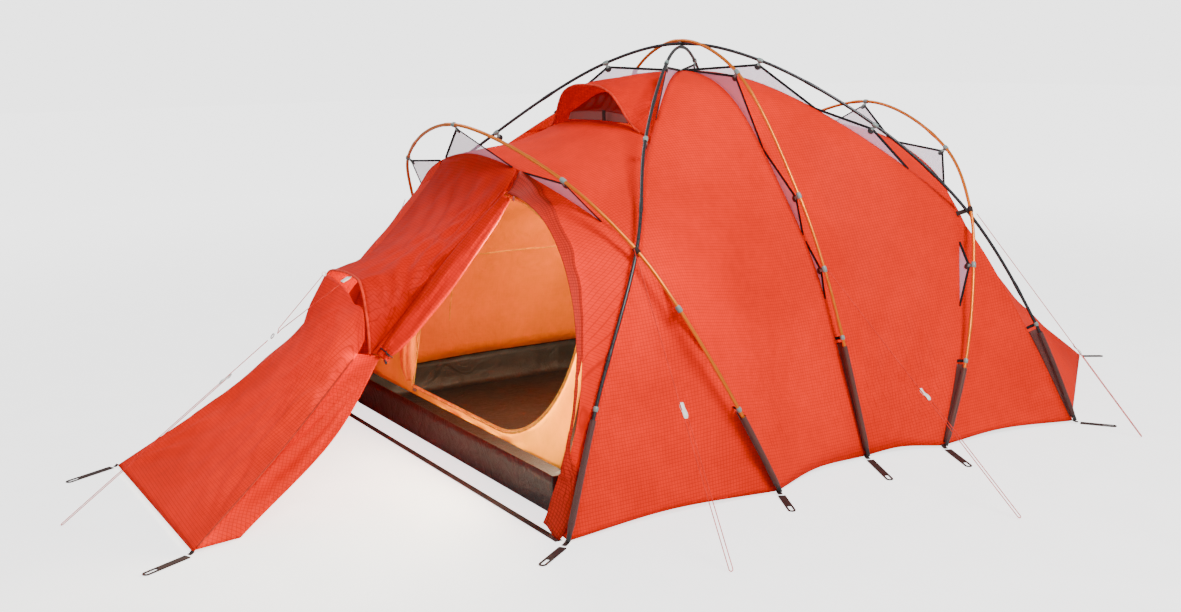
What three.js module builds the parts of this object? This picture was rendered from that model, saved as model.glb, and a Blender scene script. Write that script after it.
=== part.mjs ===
// Expedition dome tent, pitched, with its front porch door rolled open.
// Millimetres, +Z up, the porch points along -Y and the open door faces +X.
// Five outer poles carry an orange flysheet; an inner tent with a dark tub floor hangs inside it.
// Inside the group every place is measured from the ground point below the pole apex.

import * as THREE from 'three';

const V = (x, y, z) => new THREE.Vector3(x, y, z);

// Driving dimensions

const POLE_R = 5;
const POLE_SIDES = 8;
const POLE_STEPS = 40;
const POLE_END_Z = 9;                  // a pole ends this far above the ground, in its foot pocket
const CROSSING_LIFT = 6;               // hoops pass this far outside, diagonals this far inside

// Pole control points from a right-hand foot to the opposite one: x, y, z, and how far the fly's seam
// hangs inside the pole there. Diagonals run from front right to rear left.
const APEX_Z = 1287;
const CROSSING_INSET = 42;             // two seams meet wherever this inset stands
const DIAGONAL = [
  [938, -1040, POLE_END_Z, 13], [872, -902, 350, 24], [750, -690, 730, 42], [468, -468, 1004, 56],
  [186, -190, 1236, 72], [0, 0, APEX_Z, 80], [-190, 197, 1237, 72], [-466, 483, 1010, 56],
  [-672, 715, 728, 42], [-838, 870, 356, 34], [-944, 978, POLE_END_Z, 13],
];
const FRONT_HOOP = [
  [943, -321, POLE_END_Z, 13], [930, -473, 289, 32], [861, -623, 575, 42], [750, -690, 730, 42],
  [543, -800, 918, 88], [0, -877, 1059, 116],
];
const MIDDLE_HOOP = [
  [840, 122, POLE_END_Z, 13], [744, 85, 394, 32], [680, 67, 592, 36], [578, 46, 817, 56],
  [303, 10, 1202, 84], [0, 0, APEX_Z + 22, 102],
];
const REAR_HOOP = [
  [901, 402, POLE_END_Z, 13], [861, 523, 278, 32], [766, 645, 559, 52], [672, 715, 728, 42],
  [475, 804, 922, 84], [0, 868, 1070, 114],
];
const DIAGONAL_CENTRE = V(0, 0, 400);  // seams hang towards these points
const FRONT_CENTRE = V(0, -478, 485);
const MIDDLE_CENTRE = V(0, 30, 500);
const REAR_CENTRE = V(0, 478, 485);

const CLOTH = 3;                       // thickness of the fly's solids
const SEAM_GAP = 7;                    // each fly solid stops this far short of its ridge line
const HEM_Z = 7;                       // the fly's hem clears the ground
const BAY_SAG = 34;                    // the fly draws in between poles

// Porch
const ARCH_LEAN = Math.atan(0.25);     // the door arch leans back from the front feet
const ARCH_FOOT_Y = -1050;
const ARCH_R = 615;
const ARCH_X = 270;
const ARCH_S = 280;                    // height of the arch's centre, along the lean
const ARCH_TOP = 92;                   // degrees
const ARCH_BOTTOM = -24.5;
const LIP = [                          // edge of the hood over the porch, right to left
  [262, -1300, 418], [266, -1302, 495], [246, -1300, 560], [224, -1297, 600], [188, -1292, 628],
  [100, -1284, 636], [0, -1276, 632], [-118, -1270, 614], [-150, -1271, 588], [-172, -1271, 550],
  [-196, -1271, 490], [-214, -1271, 416],
];
const SILL = [                         // top edge of the front panel, hung in the hood's mouth
  [254, -1322, 466], [248, -1318, 526], [226, -1311, 552], [154, -1304, 556], [77, -1296, 580],
  [-51, -1286, 598], [-108, -1284, 600], [-152, -1290, 590], [-184, -1298, 552], [-200, -1308, 491],
];
const KNEE = [                         // where the front panel turns from upright to sloping
  [236, -1330, 420], [232, -1334, 480], [205, -1334, 516], [140, -1334, 520], [60, -1336, 512],
  [-40, -1340, 488], [-100, -1343, 468], [-150, -1346, 446], [-182, -1348, 425], [-200, -1349, 406],
];
const PORCH_STAKE_X = 445;
const PORCH_STAKE_Y = -1892;
const ROLL_R = 26;
const ROLL_END = [288, -1274, 414];     // where the toggle gathers the rolled door

// Rear tail
const TAIL_STAKE_X = 318;
const TAIL_STAKE_Y = 1795;

// Inner tent
const FLOOR_HALF_X = 735;
const FLOOR_FRONT_Y = -965;
const FLOOR_REAR_Y = 1050;
const TUB_Z = 122;
const BASE_Z = TUB_Z + 6;              // lower edge of the canopy and its end walls
const FRONT_LEAN = 0.18;               // the end walls lean in by this share of their height
const REAR_LEAN = -0.33;
const INNER_CLOTH = 3;

// Webbing and guylines
const WEB_T = 3;
const WEB_W = 22;
const EYE_W = 12;
const CORD_R = 1.25;
const CORD_SIDES = 8;
const PEG_Z = 6.5;                     // height at which a guyline turns round its peg
const LEG_GAP = 11;                    // between the two legs of a guyline below its tensioner
const LOCK = { length: 42, width: 22, depth: 8, hole: 2.1 };

// Materials

const finish = (color, roughness, metalness = 0) =>
  new THREE.MeshStandardMaterial({ color, roughness, metalness });
const GOLD = finish(0xe07a1c, 0.3, 0.9);
const GREY = finish(0x55585c, 0.35, 0.85);
const FLY = finish(0xe2401f, 0.6);
const INNER = finish(0xf3a044, 0.7);
const FLOOR = finish(0x25272a, 0.7);
const MESH = finish(0x9a3d30, 0.8);
const WEBBING = finish(0x4a3433, 0.8);
const CORD = finish(0xe2604c, 0.7);
const PLASTIC = finish(0xeeeeea, 0.4);
const METAL = finish(0x8d9196, 0.3, 0.9);

// Helpers

const tent = new THREE.Group();

function add(name, geometry, material) {
  const mesh = new THREE.Mesh(geometry, material);
  mesh.name = name;
  tent.add(mesh);
  return mesh;
}

const mirrored = (p) => V(-p.x, p.y, p.z);
const mix = (a, b, t) => a.clone().lerp(b, t);

// A curve that passes straight from point to point, with one extrusion ring at each of them.
class Polyline extends THREE.Curve {
  constructor(points) {
    super();
    this.points = points;
  }
  getPoint(t) {
    const place = Math.min(Math.max(t, 0), 1) * (this.points.length - 1);
    const k = Math.min(Math.floor(place + 1e-9), this.points.length - 2);
    return mix(this.points[k], this.points[k + 1], place - k);
  }
  getPointAt(t) {
    return this.getPoint(t);
  }
  getTangentAt(t) {
    const last = this.points.length - 1;
    const k = Math.round(t * last);
    const before = this.points[Math.max(k - 1, 0)];
    const after = this.points[Math.min(k + 1, last)];
    return after.clone().sub(before).normalize();
  }
}

function tube(path, steps, radius, sides) {
  const section = new THREE.Shape();
  for (let i = 0; i < sides; i++) {
    const a = (2 * Math.PI * i) / sides;
    section[i ? 'lineTo' : 'moveTo'](radius * Math.cos(a), radius * Math.sin(a));
  }
  return new THREE.ExtrudeGeometry(section, { steps, extrudePath: path, bevelEnabled: false });
}

// Turns a closed geometry's faces over if they point inwards, as they do after mirroring.
function facingOut(geometry) {
  const flat = geometry.index ? geometry.toNonIndexed() : geometry;
  const position = flat.attributes.position;
  const corners = [V(), V(), V()];
  let volume = 0;
  for (let k = 0; k < position.count; k += 3) {
    corners.forEach((c, i) => c.fromBufferAttribute(position, k + i));
    volume += corners[0].dot(corners[1].clone().cross(corners[2]));
  }
  for (let k = 0; volume < 0 && k < position.count; k += 3) {
    corners.forEach((c, i) => c.fromBufferAttribute(position, k + i));
    position.setXYZ(k + 1, corners[2].x, corners[2].y, corners[2].z);
    position.setXYZ(k + 2, corners[1].x, corners[1].y, corners[1].z);
  }
  flat.computeVertexNormals();
  return flat;
}

// A closed thin solid on a grid of points: rows[i][j] is its outer face, and it is thickened along
// the face's normals on the side of the point inside.
function shell(rows, thickness, inside) {
  const ni = rows.length;
  const nj = rows[0].length;
  const normal = (i, j) => {
    const along = rows[Math.min(i + 1, ni - 1)][j].clone().sub(rows[Math.max(i - 1, 0)][j]);
    const across = rows[i][Math.min(j + 1, nj - 1)].clone().sub(rows[i][Math.max(j - 1, 0)]);
    return along.cross(across).normalize();
  };
  const middle = rows[ni >> 1][nj >> 1];
  const toInside = inside.clone().sub(middle);
  const side = Math.sign(normal(ni >> 1, nj >> 1).dot(toInside)) || 1;
  const outer = rows.flat();
  const inner = rows.flatMap((row, i) =>
    row.map((p, j) => p.clone().addScaledVector(normal(i, j), side * thickness)));
  const points = outer.concat(inner);
  const at = (i, j) => i * nj + j;
  const below = outer.length;
  const faces = [];
  const quad = (a, b, c, d) => faces.push(a, b, c, a, c, d);
  for (let i = 0; i + 1 < ni; i++) {
    for (let j = 0; j + 1 < nj; j++) {
      quad(at(i, j), at(i + 1, j), at(i + 1, j + 1), at(i, j + 1));
      quad(below + at(i, j), below + at(i, j + 1), below + at(i + 1, j + 1), below + at(i + 1, j));
    }
  }
  const rim = [];
  for (let j = 0; j < nj - 1; j++) rim.push(at(0, j));
  for (let i = 0; i < ni - 1; i++) rim.push(at(i, nj - 1));
  for (let j = nj - 1; j > 0; j--) rim.push(at(ni - 1, j));
  for (let i = ni - 1; i > 0; i--) rim.push(at(i, 0));
  rim.forEach((a, k) => {
    const b = rim[(k + 1) % rim.length];
    quad(a, b, below + b, below + a);
  });
  const geometry = new THREE.BufferGeometry();
  geometry.setAttribute('position', new THREE.Float32BufferAttribute(
    points.flatMap((p) => [p.x, p.y, p.z]), 3));
  geometry.setIndex(faces);
  return facingOut(geometry);
}

// Columns of a patch between four edges. bottom and top run with u, left and right with v.
function coons({ bottom, top, left, right }, nu, nv, sag = 0, inside = DIAGONAL_CENTRE) {
  const corner = (u, v) =>
    bottom(0).multiplyScalar((1 - u) * (1 - v))
      .addScaledVector(bottom(1), u * (1 - v))
      .addScaledVector(top(0), (1 - u) * v)
      .addScaledVector(top(1), u * v);
  const columns = [];
  for (let i = 0; i <= nu; i++) {
    const u = i / nu;
    const column = [];
    for (let j = 0; j <= nv; j++) {
      const v = j / nv;
      const p = bottom(u).multiplyScalar(1 - v)
        .addScaledVector(top(u), v)
        .addScaledVector(left(v), 1 - u)
        .addScaledVector(right(v), u)
        .sub(corner(u, v));
      const depth = sag * 4 * u * (1 - u) * Math.sin(Math.PI * v);
      p.addScaledVector(inside.clone().sub(p).normalize(), depth);
      column.push(p);
    }
    columns.push(column);
  }
  return columns;
}

// Draws a grid's border in by gap, so that neighbouring solids stay clear at a shared seam.
function clear(rows, gap = SEAM_GAP) {
  const pull = (p, q) => p.addScaledVector(q.clone().sub(p).normalize(), gap);
  const ni = rows.length;
  const nj = rows[0].length;
  for (const row of rows) {
    pull(row[0], row[1]);
    pull(row[nj - 1], row[nj - 2]);
  }
  for (let j = 0; j < nj; j++) {
    pull(rows[0][j], rows[1][j]);
    pull(rows[ni - 1][j], rows[ni - 2][j]);
  }
  return rows;
}

const join = (...bays) => bays.reduce((all, bay) => all.concat(all.length ? bay.slice(1) : bay), []);
const flip = (rows) => rows.map((row) => row.map(mirrored));
const line = (a, b) => (t) => mix(a, b, t);
const span = (curve, t0, t1) => (t) => curve.getPoint(t0 + (t1 - t0) * t);
const flipped = (edge) => (t) => mirrored(edge(t));

// Two edges end to end, meeting at t = share.
const chain = (a, b, share = 0.5) => (t) => (t < share ? a(t / share) : b((t - share) / (1 - share)));

function smooth(points) {
  const curve = new THREE.CatmullRomCurve3(points);
  return (t) => curve.getPoint(t);
}

// Poles, and the seams of the fly that hang inside them

const whole = (half) => half.concat(half.slice(0, -1).reverse().map(([x, y, z, inset]) => [-x, y, z, inset]));

function poleCurve(rows, centre, lift) {
  const crossings = lift > 0 ? [3, 7] : [2, 8];
  return new THREE.CatmullRomCurve3(rows.map(([x, y, z], k) => {
    const p = V(x, y, z);
    const out = p.clone().sub(centre).normalize();
    return lift && crossings.includes(k) ? p.addScaledVector(out, lift) : p;
  }));
}

function seamCurve(rows, centre) {
  const axis = new THREE.CatmullRomCurve3(rows.map(([x, y, z]) => V(x, y, z)));
  return new THREE.CatmullRomCurve3(rows.map(([x, y, z, inset], k) => {
    const crossing = inset === CROSSING_INSET;
    const along = axis.getTangent(k / (rows.length - 1));
    const inward = (crossing ? DIAGONAL_CENTRE : centre).clone().sub(V(x, y, z));
    if (!crossing) inward.addScaledVector(along, -inward.dot(along));
    const seam = V(x, y, z).addScaledVector(inward.normalize(), inset);
    const atFoot = k === 0 || k === rows.length - 1;
    return V(seam.x, seam.y, atFoot ? HEM_Z : seam.z);
  }));
}

const diagonalPath = poleCurve(DIAGONAL, DIAGONAL_CENTRE, -CROSSING_LIFT);
const otherDiagonal = DIAGONAL.map(([x, y, z, inset], k) => [-x, y, k === 5 ? z + 11 : z, inset]);
const hoops = {
  front: [whole(FRONT_HOOP), FRONT_CENTRE, CROSSING_LIFT],
  middle: [whole(MIDDLE_HOOP), MIDDLE_CENTRE, 0],
  rear: [whole(REAR_HOOP), REAR_CENTRE, CROSSING_LIFT],
};
add('pole_diagonal_front_right', tube(diagonalPath, POLE_STEPS, POLE_R, POLE_SIDES), GREY);
add('pole_diagonal_front_left',
  tube(poleCurve(otherDiagonal, DIAGONAL_CENTRE, -CROSSING_LIFT), POLE_STEPS, POLE_R, POLE_SIDES), GREY);
for (const [name, [rows, centre, lift]] of Object.entries(hoops)) {
  add(`hoop_${name}`, tube(poleCurve(rows, centre, lift), POLE_STEPS, POLE_R, POLE_SIDES), GOLD);
}

const seamA = seamCurve(DIAGONAL, DIAGONAL_CENTRE);      // front right to rear left
const seamB = { getPoint: (t) => mirrored(seamA.getPoint(t)) };
const seamF = seamCurve(hoops.front[0], FRONT_CENTRE);
const seamM = seamCurve(hoops.middle[0], MIDDLE_CENTRE);
const seamR = seamCurve(hoops.rear[0], REAR_CENTRE);

// Flysheet, right side: four bays between the front right foot and the rear right foot

function hem(a, b, draw) {
  const middle = mix(a, b, 0.5).multiply(V(1 - draw, 1, 1)).setZ(HEM_Z + 8);
  return smooth([a, middle, b]);
}

const foot = {
  frontCorner: seamA.getPoint(0),
  front: seamF.getPoint(0),
  middle: seamM.getPoint(0),
  rear: seamR.getPoint(0),
  rearCorner: seamB.getPoint(1),
};
const ROWS = 8;
const rightSide = join(
  coons({
    bottom: hem(foot.frontCorner, foot.front, 0.03), top: line(seamA.getPoint(0.186), seamF.getPoint(0.3)),
    left: span(seamA, 0, 0.186), right: span(seamF, 0, 0.3),
  }, 3, ROWS, BAY_SAG / 2),
  coons({
    bottom: hem(foot.front, foot.middle, 0.03), top: span(seamA, 0.2, 0.5),
    left: span(seamF, 0, 0.3), right: span(seamM, 0, 0.5),
  }, 5, ROWS, BAY_SAG),
  coons({
    bottom: hem(foot.middle, foot.rear, 0.02), top: span(seamB, 0.5, 0.8),
    left: span(seamM, 0, 0.5), right: span(seamR, 0, 0.3),
  }, 5, ROWS, BAY_SAG),
  coons({
    bottom: hem(foot.rear, foot.rearCorner, 0.03), top: line(seamR.getPoint(0.3), seamB.getPoint(0.817)),
    left: span(seamR, 0, 0.3), right: span(seamB, 1, 0.817),
  }, 3, ROWS, BAY_SAG / 2),
);
clear(rightSide);
add('fly_right_side', shell(rightSide, CLOTH, DIAGONAL_CENTRE), FLY);
add('fly_left_side', shell(flip(rightSide), CLOTH, DIAGONAL_CENTRE), FLY);

// Flysheet, roof: the front panel ends at the vent's sill, the hood above it reaches the apex

const VENT_T = 0.315;                  // where the hood's brow meets the diagonal seams
const ventEnd = seamA.getPoint(VENT_T);
const ventCurve = (points) => smooth([ventEnd, ...points, ...[...points].reverse().slice(1).map(mirrored),
  mirrored(ventEnd)]);
const sillEdge = ventCurve([V(270, -358, 1024), V(180, -352, 1042), V(90, -356, 1046), V(0, -358, 1047)]);
const browEdge = ventCurve([V(262, -368, 1042), V(196, -380, 1106), V(95, -388, 1160), V(0, -390, 1168)]);
const frontRoof = coons({
  bottom: span(seamF, 0.312, 0.688), top: sillEdge,
  left: line(seamF.getPoint(0.312), ventEnd), right: line(seamF.getPoint(0.688), mirrored(ventEnd)),
}, 12, 5, 10);
for (const [i, column] of frontRoof.entries()) {
  const u = i / 12;
  const v = (j) => j / 5;
  if (i === 0) column.forEach((p, j) => p.copy(seamA.getPoint(0.215 + (VENT_T - 0.215) * v(j))));
  if (i === 12) column.forEach((p, j) => p.copy(seamB.getPoint(0.215 + (VENT_T - 0.215) * v(j))));
  column.forEach((p, j) => p.setZ(p.z - 26 * Math.sin(Math.PI * v(j)) * Math.sin(Math.PI * u)));
}
clear(frontRoof);
add('fly_front_roof', shell(frontRoof, CLOTH, DIAGONAL_CENTRE), FLY);

const hood = coons({
  bottom: browEdge, top: chain(span(seamA, 0.375, 0.5), span(seamB, 0.5, 0.375)),
  left: span(seamA, VENT_T, 0.375), right: span(seamB, VENT_T, 0.375),
}, 12, 4, 0);
clear(hood);
add('roof_vent_hood', shell(hood, CLOTH, DIAGONAL_CENTRE), FLY);

const rearRoof = coons({
  bottom: span(seamR, 0.312, 0.688), top: chain(span(seamB, 0.785, 0.5), span(seamA, 0.5, 0.785)),
  left: line(seamR.getPoint(0.312), seamB.getPoint(0.785)),
  right: line(seamR.getPoint(0.688), seamA.getPoint(0.785)),
}, 12, 5, BAY_SAG);
clear(rearRoof);
add('fly_rear_roof', shell(rearRoof, CLOTH, DIAGONAL_CENTRE), FLY);

// Rear tail, from the rear hoop and the lower ends of the diagonals down to two stakes

const tailStake = V(TAIL_STAKE_X, TAIL_STAKE_Y, HEM_Z);
const tailRidge = (t) => {
  if (t < 0.3) return seamB.getPoint(0.985 - (0.985 - 0.815) * (t / 0.3));
  if (t > 0.7) return seamA.getPoint(0.815 + (0.985 - 0.815) * ((t - 0.7) / 0.3));
  return seamR.getPoint(0.31 + 0.38 * ((t - 0.3) / 0.4));
};
const tailHem = (t) => {
  const rearFoot = foot.rearCorner;
  if (t < 0.38) return mix(rearFoot, tailStake, t / 0.38);
  if (t > 0.62) return mix(mirrored(tailStake), mirrored(rearFoot), (t - 0.62) / 0.38);
  return mix(tailStake, mirrored(tailStake), (t - 0.38) / 0.24);
};
const tail = coons({
  bottom: tailHem, top: tailRidge,
  left: line(tailHem(0), tailRidge(0)), right: line(tailHem(1), tailRidge(1)),
}, 20, 6, 0);
tail.forEach((column, i) => column.forEach((p, j) => {
  const draw = 70 * Math.sin(Math.PI * (i / 20)) * Math.sin(Math.PI * (j / 6));
  p.addScaledVector(V(0, -0.75, -0.66), draw);
}));
clear(tail);
add('fly_rear_tail', shell(tail, CLOTH, V(0, 600, 100)), FLY);

// Porch

const archPoint = (radius, degrees) => {
  const a = (degrees * Math.PI) / 180;
  const s = ARCH_S + radius * Math.sin(a);
  return V(ARCH_X + radius * Math.cos(a), ARCH_FOOT_Y + s * Math.sin(ARCH_LEAN), s * Math.cos(ARCH_LEAN));
};
const archEdge = (t) => archPoint(ARCH_R, ARCH_TOP + (ARCH_BOTTOM - ARCH_TOP) * t);
const closedArch = (t) => mirrored(archEdge(t)).add(
  V(52, 44, -44).multiplyScalar(Math.sin(Math.PI * t)));   // the closed side is drawn in and taut
const sidePost = chain(span(seamF, 0.445, 0.3), span(seamA, 0.2, 0.004), 0.5);
const doorSurround = coons({
  bottom: archEdge, top: sidePost,
  left: line(archEdge(0), sidePost(0)), right: line(archEdge(1), sidePost(1)),
}, 16, 3, 0);
clear(doorSurround, 8);
add('porch_door_surround_right', shell(doorSurround, CLOTH, V(0, -400, 300)), FLY);
const closedSurround = coons({
  bottom: closedArch, top: flipped(sidePost),
  left: line(closedArch(0), mirrored(sidePost(0))), right: line(closedArch(1), mirrored(sidePost(1))),
}, 16, 3, 0);
clear(closedSurround, 8);
add('porch_door_surround_left', shell(closedSurround, CLOTH, V(0, -400, 300)), FLY);

const lipEdge = smooth(LIP.map((p) => V(...p)));
const sillLine = smooth(SILL.map((p) => V(...p)));
const knee = smooth(KNEE.map((p) => V(...p)));
const archTop = archEdge(0.01);
const canopyRear = (t) => {
  if (t < 0.08) return mix(archTop, seamF.getPoint(0.45), t / 0.08);
  if (t > 0.92) return mix(seamF.getPoint(0.55), mirrored(archTop), (t - 0.92) / 0.08);
  return seamF.getPoint(0.45 + 0.1 * ((t - 0.08) / 0.84));
};
const rollLine = line(archTop, lipEdge(0));
const canopy = coons({
  bottom: canopyRear, top: lipEdge, left: rollLine, right: line(mirrored(archTop), lipEdge(1)),
}, 16, 6, 0);
canopy.forEach((column, i) => column.forEach((p, j) => {
  const v = j / 6;
  p.setZ(p.z - 96 * Math.sin(Math.PI * Math.pow(v, 0.75)) * Math.sin(Math.PI * (i / 16)));
}));
clear(canopy, 5);
add('porch_canopy', shell(canopy, CLOTH, V(0, -1000, 200)), FLY);

const stake = V(PORCH_STAKE_X, PORCH_STAKE_Y, HEM_Z);
const frontFold = (a, b) => smooth([a, mix(a, b, 0.5).add(V(0, 6, -8)), b]);
const leftDoor = coons({
  bottom: line(closedArch(1), mirrored(stake)), top: line(mirrored(archTop), lipEdge(1)),
  left: (v) => closedArch(1 - v), right: frontFold(mirrored(stake), lipEdge(1)),
}, 8, 8, 20, V(0, -1100, 200));
clear(leftDoor, 9);
add('porch_door_left', shell(leftDoor, CLOTH, V(0, -1100, 200)), FLY);

const ramp = coons({
  bottom: line(stake, mirrored(stake)), top: knee,
  left: frontFold(stake, knee(0)), right: frontFold(mirrored(stake), knee(1)),
}, 12, 7, 0);
ramp.forEach((column, i) => {
  column.forEach((p, j) => {
    const draw = 30 * Math.sin(Math.PI * (j / 7)) * Math.sin(Math.PI * (i / 12));
    p.addScaledVector(V(0, 0.6, -0.8), draw);
  });
  for (const v of [0.5, 1]) column.push(mix(knee(i / 12), sillLine(i / 12), v));
});
clear(ramp, 9);
add('porch_front_panel', shell(ramp, CLOTH, V(0, -1200, 0)), FLY);

const toggleAt = V(...ROLL_END);
const rollPath = smooth([
  archTop.clone().add(V(46, -34, -40)), V(304, -1014, 682), V(302, -1166, 524), toggleAt,
]);
const rollCurve = new THREE.CatmullRomCurve3([0, 0.33, 0.66, 1].map((t) => rollPath(t)));
add('porch_door_roll', tube(rollCurve, 8, ROLL_R, 8), FLY);

const flapFoot = V(412, -1756, HEM_Z);
const flapFront = stake.clone().add(V(14, 10, 0));
const flapTop = knee(0).add(V(14, 2, -2));
const flapTip = toggleAt.clone().add(V(0, -24, -30));
const flap = coons({
  bottom: line(flapFront, flapFoot), top: line(flapTop, flapTip),
  left: frontFold(flapFront, flapTop),
  right: smooth([flapFoot, mix(flapFoot, flapTip, 0.55).add(V(22, 36, -6)), flapTip]),
}, 3, 6, 0);
add('porch_door_flap', shell(flap, CLOTH, V(0, -1200, 100)), FLY);

// Roof vent: mesh window and the little prop that holds the brow up

const meshRows = coons({
  bottom: line(V(165, -340, 1052), V(-165, -340, 1052)), top: line(V(95, -300, 1128), V(-95, -300, 1128)),
  left: line(V(165, -340, 1052), V(95, -300, 1128)), right: line(V(-165, -340, 1052), V(-95, -300, 1128)),
}, 4, 2, 0);
add('roof_vent_mesh', shell(meshRows, 1.5, V(0, 0, 900)), MESH);

const PROP = { x: 66, width: 16, height: 34, depth: 3 };
const prop = add('roof_vent_prop', new THREE.BoxGeometry(PROP.width, PROP.depth, PROP.height), WEBBING);
prop.position.set(PROP.x, -360, 1052 + PROP.height / 2);

// Inner tent

const tubXs = [-FLOOR_HALF_X - 8, -FLOOR_HALF_X, 0, FLOOR_HALF_X, FLOOR_HALF_X + 8];
const tubYs = [FLOOR_FRONT_Y - 4, FLOOR_FRONT_Y, 0, FLOOR_REAR_Y, FLOOR_REAR_Y + 4];
const tubRows = tubXs.map((x, i) => tubYs.map((y, j) => {
  const wall = i === 0 || j === 0 || i === tubXs.length - 1 || j === tubYs.length - 1;
  return V(x, y, wall ? TUB_Z : 0);
}));
add('groundsheet_tub', shell(tubRows, INNER_CLOTH, V(0, 0, 500)), FLOOR);

// The canopy's cross-sections, front to rear: where each meets the floor, its lean, the right half of
// its arch, and how much narrower the left half is.
const INNER_SECTIONS = [
  { y: FLOOR_FRONT_Y + 26, lean: FRONT_LEAN, left: 0.92,
    half: [[728, 128], [766, 380], [746, 560], [664, 690], [478, 806], [240, 866], [0, 882]] },
  { y: -470, lean: 0.06,
    half: [[726, 128], [694, 380], [628, 560], [540, 700], [390, 840], [200, 935], [0, 968]] },
  { y: -190, lean: 0.02,
    half: [[724, 128], [662, 380], [590, 560], [506, 710], [370, 880], [190, 1010], [0, 1058]] },
  { y: 60, lean: -0.03,
    half: [[722, 128], [646, 380], [572, 560], [490, 720], [360, 900], [190, 1050], [0, 1104]] },
  { y: 330, lean: -0.08,
    half: [[722, 128], [654, 380], [580, 560], [496, 710], [360, 870], [186, 1000], [0, 1050]] },
  { y: 640, lean: -0.16,
    half: [[722, 128], [668, 380], [592, 560], [500, 700], [360, 815], [190, 896], [0, 928]] },
  { y: FLOOR_REAR_Y - 28, lean: REAR_LEAN,
    half: [[712, 128], [640, 380], [560, 560], [486, 670], [350, 765], [180, 826], [0, 844]] },
];
function sectionArch({ half, left = 1 }, shrink = 0) {
  const points = half.map(([x, z]) => V(Math.max(x - shrink, 0), 0, z === BASE_Z ? z : z - shrink));
  return smooth([...points, ...points.slice(0, -1).reverse().map(({ x, y, z }) => V(-left * x, y, z))]);
}
const ARCH_CELLS = 16;
const canopyRows = INNER_SECTIONS.map((section) => {
  const arch = sectionArch(section);
  const row = [];
  for (let k = 0; k <= ARCH_CELLS; k++) {
    const p = arch(k / ARCH_CELLS);
    row.push(V(p.x, section.y + section.lean * p.z, p.z));
  }
  return row;
});
add('inner_tent_canopy', shell(canopyRows, INNER_CLOTH, V(0, 0, 300)), INNER);

const innerPlane = (x, z) => V(x, FLOOR_FRONT_Y + 14 + z * FRONT_LEAN, z);
const DOOR = { x: 330, z: 548, r: 394, left: -300, sill: 154, top: 850 };
function wallOutline(section, shrink) {
  const arch = sectionArch(section, shrink);
  const outline = new THREE.Shape();
  for (let k = 0; k <= ARCH_CELLS; k++) {
    const p = arch(k / ARCH_CELLS);
    outline[k ? 'lineTo' : 'moveTo'](p.x, p.z);
  }
  return outline;
}
function wall(name, shape, footY, lean) {
  const plate = new THREE.ExtrudeGeometry(shape,
    { depth: INNER_CLOTH, bevelEnabled: false, curveSegments: 8 });
  plate.applyMatrix4(new THREE.Matrix4().makeBasis(V(1, 0, 0), V(0, lean, 1), V(0, 1, 0)));
  plate.translate(0, footY, 0);
  add(name, facingOut(plate), INNER);
}
const doorHole = new THREE.Path();
doorHole.moveTo(DOOR.left, DOOR.sill);
doorHole.lineTo(DOOR.left, 640);
doorHole.quadraticCurveTo(DOOR.left + 40, DOOR.top - 50, -20, DOOR.top - 8);
doorHole.lineTo(230, DOOR.top - 4);
doorHole.quadraticCurveTo(600, DOOR.top - 38, DOOR.x + DOOR.r, DOOR.z);
doorHole.absarc(DOOR.x, DOOR.z, DOOR.r, 0, -Math.PI / 2, true);
doorHole.lineTo(DOOR.left, DOOR.sill);
const frontOutline = wallOutline(INNER_SECTIONS[0], 4);
frontOutline.holes.push(doorHole);
wall('inner_front_wall', frontOutline, FLOOR_FRONT_Y + 14, FRONT_LEAN);
wall('inner_rear_wall', wallOutline(INNER_SECTIONS.at(-1), 4), FLOOR_REAR_Y - 20, REAR_LEAN);

const innerRollPoints = [[-322, 790], [-330, 600], [-328, 380], [-322, 190]].map(([x, z]) =>
  innerPlane(x, z).add(V(0, -34, 0)));
add('inner_door_roll', tube(new THREE.CatmullRomCurve3(innerRollPoints), 6, 22, 8), INNER);

// Webbing: the strap between the front feet, and a peg loop at every foot and stake

const strap = add('front_foot_strap', new THREE.BoxGeometry(1800, 20, 2), WEBBING);
strap.position.set(0, -1046, 1);

function pegLoop(name, x, y, dx, dy) {
  const length = Math.hypot(dx, dy);
  const half = WEB_W / 2;
  const eye = EYE_W / 2;
  const outline = new THREE.Shape();
  outline.moveTo(0, -half);
  outline.lineTo(length - half, -half);
  outline.absarc(length - half, 0, half, -Math.PI / 2, Math.PI / 2, false);
  outline.lineTo(0, half);
  outline.lineTo(0, -half);
  const hole = new THREE.Path();
  hole.moveTo(length - half - 34, -eye);
  hole.lineTo(length - half, -eye);
  hole.absarc(length - half, 0, eye, -Math.PI / 2, Math.PI / 2, false);
  hole.lineTo(length - half - 34, eye);
  hole.lineTo(length - half - 34, -eye);
  outline.holes.push(hole);
  const geometry = new THREE.ExtrudeGeometry(outline, { depth: WEB_T, bevelEnabled: false, curveSegments: 5 });
  const mesh = add(name, geometry, WEBBING);
  mesh.position.set(x, y, 0);
  mesh.rotation.z = Math.atan2(dy, dx);
}

const LOOPS = {
  front_corner: [949, -1062, 74, -108],
  front_hoop: [958, -329, 118, -58],
  middle_hoop: [856, 115, 176, -84],
  rear_hoop: [917, 394, 160, -74],
  rear_corner: [957, 988, 96, 66],
  tail: [326, 1806, 46, 66],
};
for (const [place, [x, y, dx, dy]] of Object.entries(LOOPS)) {
  pegLoop(`peg_loop_${place}_right`, x, y, dx, dy);
  pegLoop(`peg_loop_${place}_left`, -x, y, -dx, dy);
}
pegLoop('peg_loop_porch_right', 452, -1908, 62, -128);
pegLoop('peg_loop_porch_left', -450, -1910, 76, -150);

// Guylines. Each runs straight from its anchor to a peg, turns, and comes back to its tensioner.

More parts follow.
